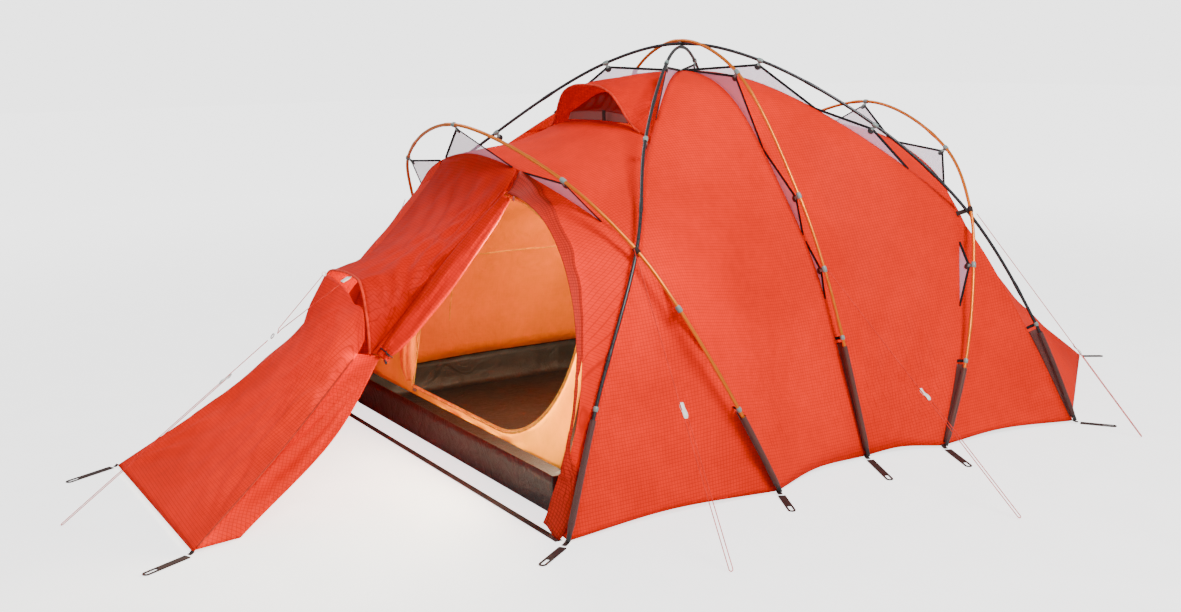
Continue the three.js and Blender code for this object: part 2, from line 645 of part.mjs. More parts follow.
function guyline(name, anchor, peg, lockAt) {
  const along = peg.clone().sub(anchor).normalize();
  const side = V(0, 0, 1).cross(along).normalize();
  const main = anchor.clone();
  const turn = peg.clone();
  const r = LEG_GAP / 2;
  const points = [main];
  for (const t of [0.3, 0.6, 0.9]) points.push(mix(anchor, turn, t));
  for (let k = 0; k <= 6; k++) {
    const a = (Math.PI * k) / 6;
    points.push(turn.clone().addScaledVector(side, r - r * Math.cos(a)).addScaledVector(along, r * Math.sin(a)));
  }
  const lock = mix(anchor, turn, lockAt);
  points.push(mix(turn, lock, 0.5).addScaledVector(side, LEG_GAP));
  points.push(lock.clone().addScaledVector(side, LEG_GAP));
  add(name, tube(new Polyline(points), points.length - 1, CORD_R, CORD_SIDES), CORD);
  tensioner(name.replace('guyline', 'tensioner'), lock, along, side);
}

function tensioner(name, place, along, side) {
  const outline = new THREE.Shape();
  const w = LOCK.width / 2;
  const d = LOCK.depth / 2;
  outline.moveTo(-w + 2, -d);
  outline.lineTo(w - 2, -d);
  outline.lineTo(w, -d + 2);
  outline.lineTo(w, d - 2);
  outline.lineTo(w - 2, d);
  outline.lineTo(-w + 2, d);
  outline.lineTo(-w, d - 2);
  outline.lineTo(-w, -d + 2);
  outline.lineTo(-w + 2, -d);
  for (const x of [-LEG_GAP / 2, LEG_GAP / 2]) {
    const hole = new THREE.Path();
    hole.absarc(x, 0, LOCK.hole, 0, 2 * Math.PI, true);
    outline.holes.push(hole);
  }
  const geometry = new THREE.ExtrudeGeometry(outline,
    { depth: LOCK.length, bevelEnabled: false, curveSegments: 4 });
  const mesh = add(name, geometry, PLASTIC);
  const normal = along.clone().cross(side);
  mesh.matrixAutoUpdate = false;
  mesh.matrix.makeBasis(side, normal, along)
    .setPosition(place.clone().addScaledVector(side, LEG_GAP / 2).addScaledVector(along, -LOCK.length / 2));
}

const GUYS = {
  front_side: [[779, -716, 742], [1318, -798], 0.53],
  middle: [[692, 70, 592], [1463, 85], 0.54],
  rear_side: [[690, 735, 716], [1176, 1010], 0.62],
};
for (const [place, [top, [x, y], lockAt]] of Object.entries(GUYS)) {
  guyline(`guyline_${place}_right`, V(...top), V(x, y, PEG_Z), lockAt);
  guyline(`guyline_${place}_left`, mirrored(V(...top)), V(-x, y, PEG_Z), lockAt);
}

const ring = V(0, -1502, 458);
const RING_R = 8;
const frontPeg = V(14, -2140, PEG_Z);
guyline('guyline_front', ring.clone().add(V(0, -15, -11)), frontPeg, 0.22);
const ringMesh = add('guyline_ring', new THREE.TorusGeometry(RING_R, 1.6, 8, 16), METAL);
ringMesh.position.copy(ring);
ringMesh.rotation.set(Math.PI / 2 - 0.62, 0, 0);
const bridleLeg = (end) => [end, mix(end, ring, 0.5), mix(end, ring, 0.88)];
const bridlePoints = [
  ...bridleLeg(V(95, -1306, 616)), ring.clone().add(V(0, 16, 6)), ...bridleLeg(V(-112, -1294, 606)).reverse(),
];
add('guyline_front_bridle', tube(new Polyline(bridlePoints), bridlePoints.length - 1, CORD_R, CORD_SIDES), CORD);

// Small hardware: the toggle on the door roll and the two zip sliders

const toggle = add('door_toggle', new THREE.CylinderGeometry(4, 4, 34, 8), METAL);
toggle.position.copy(toggleAt.clone().add(V(46, -8, 0)));
toggle.rotation.z = Math.PI / 2 - 0.3;

const SLIDER = { width: 9, height: 24, depth: 4 };
const flySlider = add('fly_zip_slider', new THREE.BoxGeometry(SLIDER.width, SLIDER.depth, SLIDER.height), METAL);
flySlider.position.copy(archPoint(ARCH_R - 14, 86));
flySlider.rotation.x = -ARCH_LEAN;
const innerSlider = add('inner_zip_slider',
  new THREE.BoxGeometry(SLIDER.height, SLIDER.depth, SLIDER.width), METAL);
innerSlider.position.copy(innerPlane(-270, DOOR.sill - 8).add(V(0, -8, 0)));

// The frame's origin is on the ground at the middle of the pitched tent, its guylines left out

tent.updateMatrixWorld(true);
const body = new THREE.Box3();
for (const mesh of tent.children) {
  if (!/^(guyline|tensioner)/.test(mesh.name)) body.expandByObject(mesh);
}
tent.position.set(0, -body.getCenter(V()).y, 0);

export default tent;
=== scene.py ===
"""Looks of the pitched dome tent: camera, cords, cloth, poles, fittings, materials, floor and light."""
import bpy
import bmesh
import math
import numpy as np
from mathutils import Matrix, Vector


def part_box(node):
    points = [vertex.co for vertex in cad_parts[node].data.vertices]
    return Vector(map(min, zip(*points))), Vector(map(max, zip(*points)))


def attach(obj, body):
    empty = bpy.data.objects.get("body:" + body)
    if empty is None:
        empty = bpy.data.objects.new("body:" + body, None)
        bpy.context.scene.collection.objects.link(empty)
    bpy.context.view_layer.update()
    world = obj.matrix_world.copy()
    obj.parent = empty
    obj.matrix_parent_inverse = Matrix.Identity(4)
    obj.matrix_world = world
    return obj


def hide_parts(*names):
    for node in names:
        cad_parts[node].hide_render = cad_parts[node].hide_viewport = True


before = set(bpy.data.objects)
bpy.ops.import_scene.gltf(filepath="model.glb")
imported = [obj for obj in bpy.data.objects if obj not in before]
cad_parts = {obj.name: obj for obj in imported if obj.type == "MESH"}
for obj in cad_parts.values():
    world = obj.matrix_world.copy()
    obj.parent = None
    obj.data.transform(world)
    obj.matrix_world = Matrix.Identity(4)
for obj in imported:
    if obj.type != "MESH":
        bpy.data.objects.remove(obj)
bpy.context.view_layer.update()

MM = 0.001
# The row frame's origin is the middle of the tent, and the apex stands a little way off it along y. The
# strap between the front feet is this far in front of the apex, so its box says how far.
STRAP_TO_APEX = 1.046
STRAP_LO, STRAP_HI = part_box("front_foot_strap")
OFF = np.array((0, (STRAP_LO[1] + STRAP_HI[1]) / 2 + STRAP_TO_APEX, 0))


def at(x, y, z):
    """A point given in metres from the ground below the apex, in the row frame."""
    return np.array((x, y, z), float) + OFF


# ---------------------------------------------------------------- curves and grids

def arr(t):
    return np.atleast_1d(np.asarray(t, float))


def steps(n):
    """n even steps from 0 to 1."""
    return np.linspace(0, 1, n)


class Rom:
    """A centripetal Catmull-Rom curve through its points, the curve that poles and seams follow."""

    def __init__(self, points):
        self.p = np.asarray(points, float)

    def __call__(self, t):
        n = len(self.p)
        where = np.clip(arr(t), 0, 1) * (n - 1)
        k = np.minimum(where.astype(int), n - 2)
        w = (where - k)[:, None]
        ext = np.vstack([2 * self.p[0] - self.p[1], self.p, 2 * self.p[-1] - self.p[-2]])
        p0, p1, p2, p3 = ext[k], ext[k + 1], ext[k + 2], ext[k + 3]

        def gap(a, b):
            return np.maximum(np.linalg.norm(b - a, axis=1), 1e-9)[:, None] ** 0.5

        d0, d1, d2 = gap(p0, p1), gap(p1, p2), gap(p2, p3)
        m1 = ((p1 - p0) / d0 - (p2 - p0) / (d0 + d1) + (p2 - p1) / d1) * d1
        m2 = ((p2 - p1) / d1 - (p3 - p1) / (d1 + d2) + (p3 - p2) / d2) * d1
        c2 = -3 * p1 + 3 * p2 - 2 * m1 - m2
        c3 = 2 * p1 - 2 * p2 + m1 + m2
        return p1 + m1 * w + c2 * w ** 2 + c3 * w ** 3


def line(a, b):
    a, b = np.asarray(a, float), np.asarray(b, float)
    return lambda t: a + (b - a) * arr(t)[:, None]


def span(curve, t0, t1):
    """The stretch of a curve from t0 to t1, as a curve of its own."""
    return lambda t: curve(t0 + (t1 - t0) * arr(t))


def chain(*curves, stops=(0.5,)):
    """Curves one after another; stops says how far along each gives over to the next."""
    bounds = (0, *stops, 1)

    def edge(t):
        t, out = arr(t), None
        for k in range(len(curves) - 1, -1, -1):
            part = curves[k](np.clip((t - bounds[k]) / (bounds[k + 1] - bounds[k]), 0, 1))
            out = part if out is None else np.where((t < bounds[k + 1])[:, None], part, out)
        return out
    return edge


def traced(points):
    """A curve through points given in metres from the ground below the apex."""
    return Rom([at(*p) for p in points])


MIRROR = np.array((-1.0, 1.0, 1.0))


def mirrored(edge):
    return lambda t: edge(t) * MIRROR


def unit(v):
    v = np.asarray(v, float)
    return v / np.maximum(np.linalg.norm(v, axis=-1, keepdims=True), 1e-12)


def coons(bottom, top, left, right, nu, nv, sag=0.0, inside=None):
    """Columns of a patch between four edges: bottom and top run with u, left and right with v."""
    u, v = steps(nu + 1), steps(nv + 1)
    B, T, L, R = bottom(u)[:, None], top(u)[:, None], left(v)[None], right(v)[None]
    U, W = u[:, None, None], v[None, :, None]
    P = B * (1 - W) + T * W + L * (1 - U) + R * U - (
        B[:1] * (1 - U) * (1 - W) + B[-1:] * U * (1 - W) + T[:1] * (1 - U) * W + T[-1:] * U * W)
    if sag:
        depth = sag * 4 * U * (1 - U) * np.sin(np.pi * W)
        P = P + unit(np.asarray(inside, float) - P) * depth
    return P


def between(bottom, top, nu, nv):
    """A patch between two curves, with straight sides."""
    return coons(bottom, top, line(bottom(0)[0], top(0)[0]), line(bottom(1)[0], top(1)[0]), nu, nv)


def grid_uv(P):
    """How far along its columns and rows, from 0 to 1, each point of a grid lies."""
    return steps(P.shape[0])[:, None], steps(P.shape[1])[None]


def grid_normals(P):
    du, dv = np.gradient(P, axis=0), np.gradient(P, axis=1)
    return unit(np.cross(du, dv))


def arc(points):
    """Distance along a line of points, up to each of them."""
    return np.concatenate([[0], np.cumsum(np.linalg.norm(np.diff(points, axis=0), axis=1))])


WAVES = 9


def noise2(u, v, seed, scale):
    """Smooth, repeatable unevenness in about -1..1, made of a few crossed waves."""
    rng = np.random.default_rng(seed)
    total = np.zeros_like(u)
    for _ in range(WAVES):
        a, ph = rng.uniform(0, 2 * np.pi, 2)
        f = 2 * np.pi / scale * rng.uniform(0.6, 1.7)
        total += np.sin(f * (u * np.cos(a) + v * np.sin(a)) + ph) / 3
    return total


# ---------------------------------------------------------------- meshes

def add_mesh(name, verts, faces, uvs, smooth=True):
    mesh = bpy.data.meshes.new(name)
    mesh.from_pydata([tuple(p) for p in verts], [], [tuple(int(i) for i in f) for f in faces])
    layer = mesh.uv_layers.new(name="cloth")
    index = np.empty(len(mesh.loops), int)
    mesh.loops.foreach_get("vertex_index", index)
    layer.data.foreach_set("uv", np.asarray(uvs, float)[index].ravel())
    if smooth:
        mesh.polygons.foreach_set("use_smooth", [True] * len(mesh.polygons))
    mesh.validate()
    mesh.update()
    obj = bpy.data.objects.new(name, mesh)
    bpy.context.scene.collection.objects.link(obj)
    return obj


def plane_uv(P):
    """Flat cloth coordinates in metres, in the plane that fits the grid best."""
    flat = P.reshape(-1, 3)
    c = flat.mean(0)
    normal = np.linalg.svd(flat - c, full_matrices=False)[2][2]
    across = unit(np.cross((0, 0, 1), normal)) if abs(normal[2]) < 0.95 else np.array((1.0, 0, 0))
    up = np.cross(normal, across)
    return np.stack([(flat - c) @ across, (flat - c) @ up], -1)


def grid_faces(ni, nj, start=0):
    i, j = np.meshgrid(np.arange(ni - 1), np.arange(nj - 1), indexing="ij")
    a = start + i * nj + j
    return np.stack([a, a + nj, a + nj + 1, a + 1], -1).reshape(-1, 4)


def dress(obj, material, body, nodes=()):
    """Gives a piece its material and its body, and hides the CAD nodes that it stands for."""
    obj.data.materials.append(material)
    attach(obj, body)
    if nodes:
        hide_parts(*nodes)
    return obj


def solidify(obj, thickness, offset):
    m = obj.modifiers.new("cloth", "SOLIDIFY")
    m.thickness, m.offset, m.use_even_offset = thickness, offset, False


MIN_FILL = 0.3001  # the least share of its flat rectangle that a sheet is said to fill


def cloth(name, P, material, node=(), thickness=0.0012, outward=None, uv=None):
    """A taut cloth panel on a grid, turned so that its face looks outward, with real thickness."""
    n = grid_normals(P)
    if outward is not None and np.mean(np.einsum("ijk,ijk->ij", n,
            np.asarray(outward) * np.ones_like(P))) < 0:
        P = P[::-1]
    obj = add_mesh(name, P.reshape(-1, 3), grid_faces(*P.shape[:2]), plane_uv(P) if uv is None else uv)
    bm = bmesh.new()
    bm.from_mesh(obj.data)
    bmesh.ops.remove_doubles(bm, verts=bm.verts, dist=1e-5)
    area = sum(f.calc_area() for f in bm.faces)
    bm.to_mesh(obj.data)
    bm.free()
    solidify(obj, thickness, -1)
    dress(obj, material, "tent", node)
    w = max(arc(P[:, k])[-1] for k in (0, P.shape[1] // 2, -1))
    l = max(arc(P[k])[-1] for k in (0, P.shape[0] // 2, -1))
    area = max(min(area, w * l), MIN_FILL * w * l)
    return obj


def square_axes(axis):
    """Two unit directions square to a unit axis and to each other."""
    ref = np.array((0, 0, 1.0)) if abs(axis[2]) < 0.9 else np.array((1.0, 0, 0))
    x = unit(np.cross(axis, ref))
    return x, np.cross(axis, x)


def ring_faces(rings, sides):
    """Quads between closed rings of points that follow each other."""
    return [(k * sides + i, k * sides + (i + 1) % sides, (k + 1) * sides + (i + 1) % sides,
        (k + 1) * sides + i) for k in range(rings - 1) for i in range(sides)]


def tube(points, radius, sides=12, flat=None, caps=True):
    """A round or flattened tube along points: radius is one number or one per point; flat is (direction,
    share) and squeezes the section along that direction."""
    P = np.asarray(points, float)
    n = len(P)
    r = np.broadcast_to(np.asarray(radius, float), (n,))
    tangent = unit(np.gradient(P, axis=0))
    side = square_axes(tangent[0])[0]
    verts = []
    a = np.linspace(0, 2 * np.pi, sides, endpoint=False)
    for k in range(n):
        side = unit(side - tangent[k] * side.dot(tangent[k]))
        up = np.cross(tangent[k], side)
        if flat is not None:
            d = np.asarray(flat[0][k] if np.ndim(flat[0]) == 2 else flat[0], float)
            d = unit(d - tangent[k] * d.dot(tangent[k]))
            side_k, up_k = np.cross(d, tangent[k]), d * flat[1]
        else:
            side_k, up_k = side, up
        verts.append(P[k] + r[k] * (np.cos(a)[:, None] * side_k + np.sin(a)[:, None] * up_k))
    verts = np.concatenate(verts)
    faces = [f[::-1] for f in ring_faces(n, sides)]
    length = arc(P)
    uvs = [(r[k] * a[i], length[k]) for k in range(n) for i in range(sides)]
    if caps:
        faces += [tuple(range(sides)), tuple(range((n - 1) * sides, n * sides))[::-1]]
    return verts, faces, uvs


def collect(parts):
    """Several (verts, faces, uvs) as one."""
    verts, faces, uvs, base = [], [], [], 0
    for v, f, u in parts:
        verts.append(np.asarray(v, float))
        faces += [tuple(int(i) + base for i in face) for face in f]
        uvs += list(u)
        base += len(v)
    return np.concatenate(verts), faces, uvs


def place(name, parts, material, body="tent", node=(), smooth_angle=40):
    verts, faces, uvs = collect(parts)
    obj = add_mesh(name, verts, faces, uvs)
    bm = bmesh.new()
    bm.from_mesh(obj.data)
    bmesh.ops.recalc_face_normals(bm, faces=bm.faces)
    for e in bm.edges:
        if len(e.link_faces) == 2 and e.calc_face_angle(0) > math.radians(smooth_angle):
            e.smooth = False
    bm.to_mesh(obj.data)
    bm.free()
    return dress(obj, material, body, node)


def rounded_block(centre, x_axis, y_axis, z_axis, size, bevel, cuts=3):
    """A box with rounded edges."""
    bm = bmesh.new()
    bmesh.ops.create_cube(bm, size=1)
    for v in bm.verts:
        v.co = Vector([v.co[i] * size[i] for i in range(3)])
    bmesh.ops.bevel(bm, geom=bm.edges[:], offset=bevel, segments=cuts, affect="EDGES", profile=0.6)
    verts = np.array([v.co for v in bm.verts])
    faces = [[v.index for v in f.verts] for f in bm.faces]
    bm.free()
    axes = np.array([unit(x_axis), unit(y_axis), unit(z_axis)])
    return np.asarray(centre) + verts @ axes, faces, [(v[0], v[1]) for v in verts]


def torus(centre, axis, R, r, n=24, m=10):
    axis = unit(axis)
    x, y = square_axes(axis)
    verts, faces, uvs = [], [], []
    for i in range(n):
        a = 2 * math.pi * i / n
        d = math.cos(a) * x + math.sin(a) * y
        for j in range(m):
            b = 2 * math.pi * j / m
            verts.append(np.asarray(centre) + d * (R + r * math.cos(b)) + axis * r * math.sin(b))
            uvs.append((R * a, r * b))
            faces.append((i * m + j, ((i + 1) % n) * m + j, ((i + 1) % n) * m + (j + 1) % m,
                i * m + (j + 1) % m))
    return np.array(verts), faces, uvs


def disc(centre, axis, R, thick, n=20):
    """A flat round tab with a rounded rim."""
    axis = unit(axis)
    x, y = square_axes(axis)
    profile = [(0.82, -0.5), (0.95, -0.35), (1, 0), (0.95, 0.35), (0.82, 0.5)]
    verts, uvs = [], []
    for s, h in profile:
        for i in range(n):
            a = 2 * math.pi * i / n
            verts.append(np.asarray(centre) + (math.cos(a) * x + math.sin(a) * y) * R * s + axis * h * thick)
            uvs.append((R * s * math.cos(a), R * s * math.sin(a)))
    faces = ring_faces(len(profile), n)
    faces += [tuple(range(n))[::-1], tuple(range((len(profile) - 1) * n, len(profile) * n))]
    return np.array(verts), faces, uvs


# ---------------------------------------------------------------- materials

def new_material(name):
    m = bpy.data.materials.new(name)
    m.use_nodes = True
    nt = m.node_tree
    nt.nodes.clear()
    out = nt.nodes.new("ShaderNodeOutputMaterial")
    return m, nt, out


def node(nt, kind, **inputs):
    n = nt.nodes.new("ShaderNode" + kind)
    for key, value in inputs.items():
        if key.startswith("_"):
            setattr(n, key[1:], value)
            continue
        sock = n.inputs[int(key[1:])] if key[0] == "i" and key[1:].isdigit() else n.inputs[key.replace("_",
            " ")]
        if isinstance(value, bpy.types.NodeSocket):
            nt.links.new(value, sock)
        else:
            sock.default_value = value
    return n


def maths(nt, operation, a, b=None):
    n = nt.nodes.new("ShaderNodeMath")
    n.operation = operation
    for k, value in enumerate((a, b)):
        if value is None:
            continue
        if isinstance(value, bpy.types.NodeSocket):
            nt.links.new(value, n.inputs[k])
        else:
            n.inputs[k].default_value = value
    return n.outputs[0]


def mix_colour(nt, factor, a, b, blend="MIX"):
    n = nt.nodes.new("ShaderNodeMix")
    n.data_type = "RGBA"
    n.blend_type = blend
    for sock, value in ((n.inputs[0], factor), (n.inputs[6], a), (n.inputs[7], b)):
        if isinstance(value, bpy.types.NodeSocket):
            nt.links.new(value, sock)
        else:
            sock.default_value = value if not hasattr(value, "__len__") or len(value) == 4 else (*value, 1)
    return n.outputs[2]


def ramp(nt, value, low, high, to_low=0.0, to_high=1.0):
    n = nt.nodes.new("ShaderNodeMapRange")
    n.interpolation_type = "SMOOTHSTEP"
    nt.links.new(value, n.inputs[0])
    for k, x in enumerate((low, high, to_low, to_high)):
        n.inputs[k + 1].default_value = x
    return n.outputs[0]


def grey(nt, value):
    return node(nt, "CombineColor", Red=value, Green=value, Blue=value).outputs[0]


def dim(colour, share):
    return tuple(c * share for c in colour)


def grid_lines(nt, u, v, cell, share):
    """1 on the lines of a square grid of that cell, 0 between them."""
    lines = []
    for s in (u, v):
        f = maths(nt, "FRACT", maths(nt, "MULTIPLY", s, 1 / cell))
        lines.append(ramp(nt, maths(nt, "ABSOLUTE", maths(nt, "SUBTRACT", f, 0.5)), 0.5 - share, 0.5))
    return maths(nt, "MAXIMUM", lines[0], lines[1])


def fabric(name, colour, through=None, through_share=0.0, cell=0.008, line_share=0.14, line_tone=0.82,
           rough=0.5, sheen=0.25, crinkle=0.35, tone=0.12, bump=0.25, specular=0.4):
    """Ripstop cloth: grid, weave, creases and uneven tone, with light coming through it."""
    m, nt, out = new_material(name)
    uv = node(nt, "UVMap", _uv_map="cloth")
    sep = node(nt, "SeparateXYZ", Vector=uv.outputs[0])
    u, v = sep.outputs[0], sep.outputs[1]
    coord = node(nt, "TexCoord").outputs["Object"]
    grid = grid_lines(nt, u, v, cell, line_share)
    big = node(nt, "TexNoise", Vector=coord, Scale=2.3, Detail=3.0, Roughness=0.55).outputs[0]
    small = node(nt, "TexNoise", Vector=coord, Scale=38.0, Detail=4.0, Roughness=0.6).outputs[0]
    crease = node(nt, "TexNoise", Vector=coord, Scale=9.0, Detail=5.0, Roughness=0.62,
        Distortion=1.6).outputs[0]
    base = mix_colour(nt, grid, colour, dim(colour, line_tone))
    tint = maths(nt, "ADD", ramp(nt, big, 0.3, 0.7, 1 - tone, 1 + tone * 0.5),
                 ramp(nt, small, 0.3, 0.7, -tone * 0.25, tone * 0.25))
    shade = grey(nt, tint)
    base = mix_colour(nt, 1.0, base, shade, "MULTIPLY")
    weave = node(nt, "TexWave", Vector=uv.outputs[0], Scale=620.0, Distortion=0.4, Detail=1.0)
    height = maths(nt, "ADD", maths(nt, "MULTIPLY", grid, 0.35),
                   maths(nt, "MULTIPLY", weave.outputs[1], 0.08))
    height = maths(nt, "ADD", height, maths(nt, "MULTIPLY", crease, crinkle * 12))
    b = node(nt, "Bump", Strength=bump, Distance=0.0012, Height=height)
    rough_map = ramp(nt, small, 0.2, 0.8, rough - 0.05, rough + 0.07)
    p = node(nt, "BsdfPrincipled", Base_Color=base, Normal=b.outputs[0], Roughness=rough_map,
        Sheen_Weight=sheen, Sheen_Roughness=0.4, Sheen_Tint=(*[min(1, c * 1.2 + 0.1) for c in colour], 1),
        Specular_IOR_Level=specular)
    surface = p.outputs[0]
    if through_share:
        tr = node(nt, "BsdfTranslucent", Color=mix_colour(nt, 1.0, through, shade, "MULTIPLY"),
                  Normal=b.outputs[0])
        mx = node(nt, "MixShader", Fac=through_share)
        nt.links.new(surface, mx.inputs[1])
        nt.links.new(tr.outputs[0], mx.inputs[2])
        surface = mx.outputs[0]
    nt.links.new(surface, out.inputs[0])
    return m


def netting(name, colour, alpha, cell=0.0028):
    m, nt, out = new_material(name)
    uv = node(nt, "UVMap", _uv_map="cloth")
    sep = node(nt, "SeparateXYZ", Vector=uv.outputs[0])
    grid = grid_lines(nt, sep.outputs[0], sep.outputs[1], cell, 0.2)
    base = mix_colour(nt, grid, colour, dim(colour, 0.7))
    p = node(nt, "BsdfPrincipled", Base_Color=base, Roughness=0.6, Alpha=alpha, Sheen_Weight=0.2)
    nt.links.new(p.outputs[0], out.inputs[0])
    return m


def webbing(name, colour, rib=0.0016, rough=0.7):
    """Woven tape: fine ribs across it, painted shade in the grooves between them, and uneven tone."""
    m, nt, out = new_material(name)
    coord = node(nt, "TexCoord").outputs["Object"]
    uv = node(nt, "UVMap", _uv_map="cloth")
    sep = node(nt, "SeparateXYZ", Vector=uv.outputs[0])
    ribs = maths(nt, "SINE", maths(nt, "MULTIPLY", sep.outputs[1], 2 * math.pi / rib))
    ribs2 = maths(nt, "SINE", maths(nt, "MULTIPLY", sep.outputs[0], 2 * math.pi / (rib * 1.3)))
    height = maths(nt, "MULTIPLY", ribs, ribs2)
    uneven = node(nt, "TexNoise", Vector=coord, Scale=60.0, Detail=3.0).outputs[0]
    # darker where the ribs dip: painted shade in the grooves
    base = mix_colour(nt, ramp(nt, height, -0.6, 0.8), dim(colour, 0.8), colour)
    tint = ramp(nt, uneven, 0.3, 0.7, 0.75, 1.15)
    shade = grey(nt, tint)
    base = mix_colour(nt, 1.0, base, shade, "MULTIPLY")
    b = node(nt, "Bump", Strength=0.5, Distance=0.0006, Height=height)
    p = node(nt, "BsdfPrincipled", Base_Color=base, Normal=b.outputs[0], Specular_IOR_Level=0.15,
             Sheen_Weight=0.03, Roughness=ramp(nt, uneven, 0.3, 0.7, rough - 0.08, rough + 0.08))
    nt.links.new(p.outputs[0], out.inputs[0])
    return m


def anodised(name, colour, rough=0.28, metallic=0.85, scuff=0.08):
    m, nt, out = new_material(name)
    coord = node(nt, "TexCoord").outputs["Object"]
    streak = node(nt, "TexNoise", Vector=coord, Scale=90.0, Detail=3.0, Roughness=0.6).outputs[0]
    broad = node(nt, "TexNoise", Vector=coord, Scale=6.0, Detail=2.0).outputs[0]
    base = mix_colour(nt, ramp(nt, broad, 0.3, 0.7), dim(colour, 0.88), colour)
    p = node(nt, "BsdfPrincipled", Base_Color=base, Metallic=metallic,
             Roughness=ramp(nt, streak, 0.35, 0.7, rough - 0.04, rough + scuff))
    nt.links.new(p.outputs[0], out.inputs[0])
    return m


def plastic(name, colour, rough=0.45, grain=0.15):
    m, nt, out = new_material(name)
    coord = node(nt, "TexCoord").outputs["Object"]
    fine = node(nt, "TexNoise", Vector=coord, Scale=700.0, Detail=2.0).outputs[0]
    broad = node(nt, "TexNoise", Vector=coord, Scale=40.0, Detail=2.0).outputs[0]
    base = mix_colour(nt, ramp(nt, broad, 0.3, 0.7), dim(colour, 0.85), colour)
    b = node(nt, "Bump", Strength=grain, Distance=0.0003, Height=fine)
    p = node(nt, "BsdfPrincipled", Base_Color=base, Normal=b.outputs[0],
             Roughness=ramp(nt, broad, 0.3, 0.7, rough - 0.06, rough + 0.08))
    nt.links.new(p.outputs[0], out.inputs[0])
    return m


# ---------------------------------------------------------------- camera

CAM_AZ, CAM_EL, CAM_ROLL = (math.radians(a) for a in (58.566, 11.141, -0.978))
CAM_AT = at(3.7707, -2.6887, 1.2887)
LENS, SENSOR = 39.94, 36.0
back = np.array((math.sin(CAM_AZ) * math.cos(CAM_EL), -math.cos(CAM_AZ) * math.cos(CAM_EL), math.sin(CAM_EL)))
right = np.array((math.cos(CAM_AZ), math.sin(CAM_AZ), 0))
up = np.cross(back, right)
right, up = (right * math.cos(CAM_ROLL) + up * math.sin(CAM_ROLL),
             up * math.cos(CAM_ROLL) - right * math.sin(CAM_ROLL))
camera = bpy.data.objects.new("camera", bpy.data.cameras.new("camera"))
camera.data.lens, camera.data.sensor_width = LENS, SENSOR
camera.data.clip_start, camera.data.clip_end = 0.05, 100
basis = Matrix((right, up, back)).transposed().to_4x4()
camera.matrix_world = Matrix.Translation(CAM_AT) @ basis
bpy.context.scene.collection.objects.link(camera)
bpy.context.scene.camera = camera


# ---------------------------------------------------------------- the skeleton: poles and fly seams

# x, y, z of a pole point in mm from the ground below the apex, and how far inside it the seam hangs
END_Z, HEM_Z, CROSSING_INSET, CROSSING_LIFT = 9, 7, 42, 6
DIAGONAL = [
    (938, -1040, END_Z, 13), (872, -902, 350, 24), (750, -690, 730, 42), (468, -468, 1004, 56),
    (186, -190, 1236, 72), (0, 0, 1287, 80), (-190, 197, 1237, 72), (-466, 483, 1010, 56),
    (-672, 715, 728, 42), (-838, 870, 356, 34), (-944, 978, END_Z, 13)]
FRONT_HOOP = [
    (943, -321, END_Z, 13), (930, -473, 289, 32), (861, -623, 575, 42), (750, -690, 730, 42),
    (543, -800, 918, 88), (0, -877, 1059, 116)]
MIDDLE_HOOP = [
    (840, 122, END_Z, 13), (744, 85, 394, 32), (680, 67, 592, 36), (578, 46, 817, 56),
    (303, 10, 1202, 84), (0, 0, 1309, 102)]
REAR_HOOP = [
    (901, 402, END_Z, 13), (861, 523, 278, 32), (766, 645, 559, 52), (672, 715, 728, 42),
    (475, 804, 922, 84), (0, 868, 1070, 114)]
CENTRE = {"A": (0, 0, 400), "F": (0, -478, 485), "M": (0, 30, 500), "R": (0, 478, 485)}


def whole(half):
    return half + [(-x, y, z, i) for x, y, z, i in half[-2::-1]]


ROWS = {"A": DIAGONAL, "F": whole(FRONT_HOOP), "M": whole(MIDDLE_HOOP), "R": whole(REAR_HOOP)}
ROWS["B"] = [(-x, y, z + 11 * (k == 5), i) for k, (x, y, z, i) in enumerate(DIAGONAL)]
CENTRE["B"] = CENTRE["A"]
LIFT = {"A": -CROSSING_LIFT, "B": -CROSSING_LIFT, "F": CROSSING_LIFT, "M": 0, "R": CROSSING_LIFT}


def pole_curve(key):
    crossings = (3, 7) if LIFT[key] > 0 else (2, 8)
    out = []
    for k, (x, y, z, _) in enumerate(ROWS[key]):
        p = np.array((x, y, z), float)
        if LIFT[key] and k in crossings:
            p += LIFT[key] * unit(p - np.array(CENTRE[key], float))
        out.append(p)
    return Rom(np.array(out) * MM + OFF)


def seam_curve(key):
    rows, centre = ROWS[key], np.array(CENTRE[key], float)
    axis, last, out = Rom([r[:3] for r in rows]), len(rows) - 1, []
    for k, (x, y, z, inset) in enumerate(rows):
        p, t = np.array((x, y, z), float), k / last
        along = unit(axis(min(t + 1e-4, 1))[0] - axis(max(t - 1e-4, 0))[0])
        crossing = inset == CROSSING_INSET
        inward = (np.array(CENTRE["A"], float) if crossing else centre) - p
        if not crossing:
            inward -= along * inward.dot(along)
        p = p + inset * unit(inward)
        if k in (0, last):
            p[2] = HEM_Z
        out.append(p)
    return Rom(np.array(out) * MM + OFF)


POLE = {k: pole_curve(k) for k in "ABFMR"}
SEAM = {k: seam_curve(k) for k in "AFMR"}
SEAM["B"] = mirrored(SEAM["A"])
A, B, F, M, R = (SEAM[k] for k in "ABFMR")
INSIDE = at(0, 0, 0.4)


# ---------------------------------------------------------------- materials in use

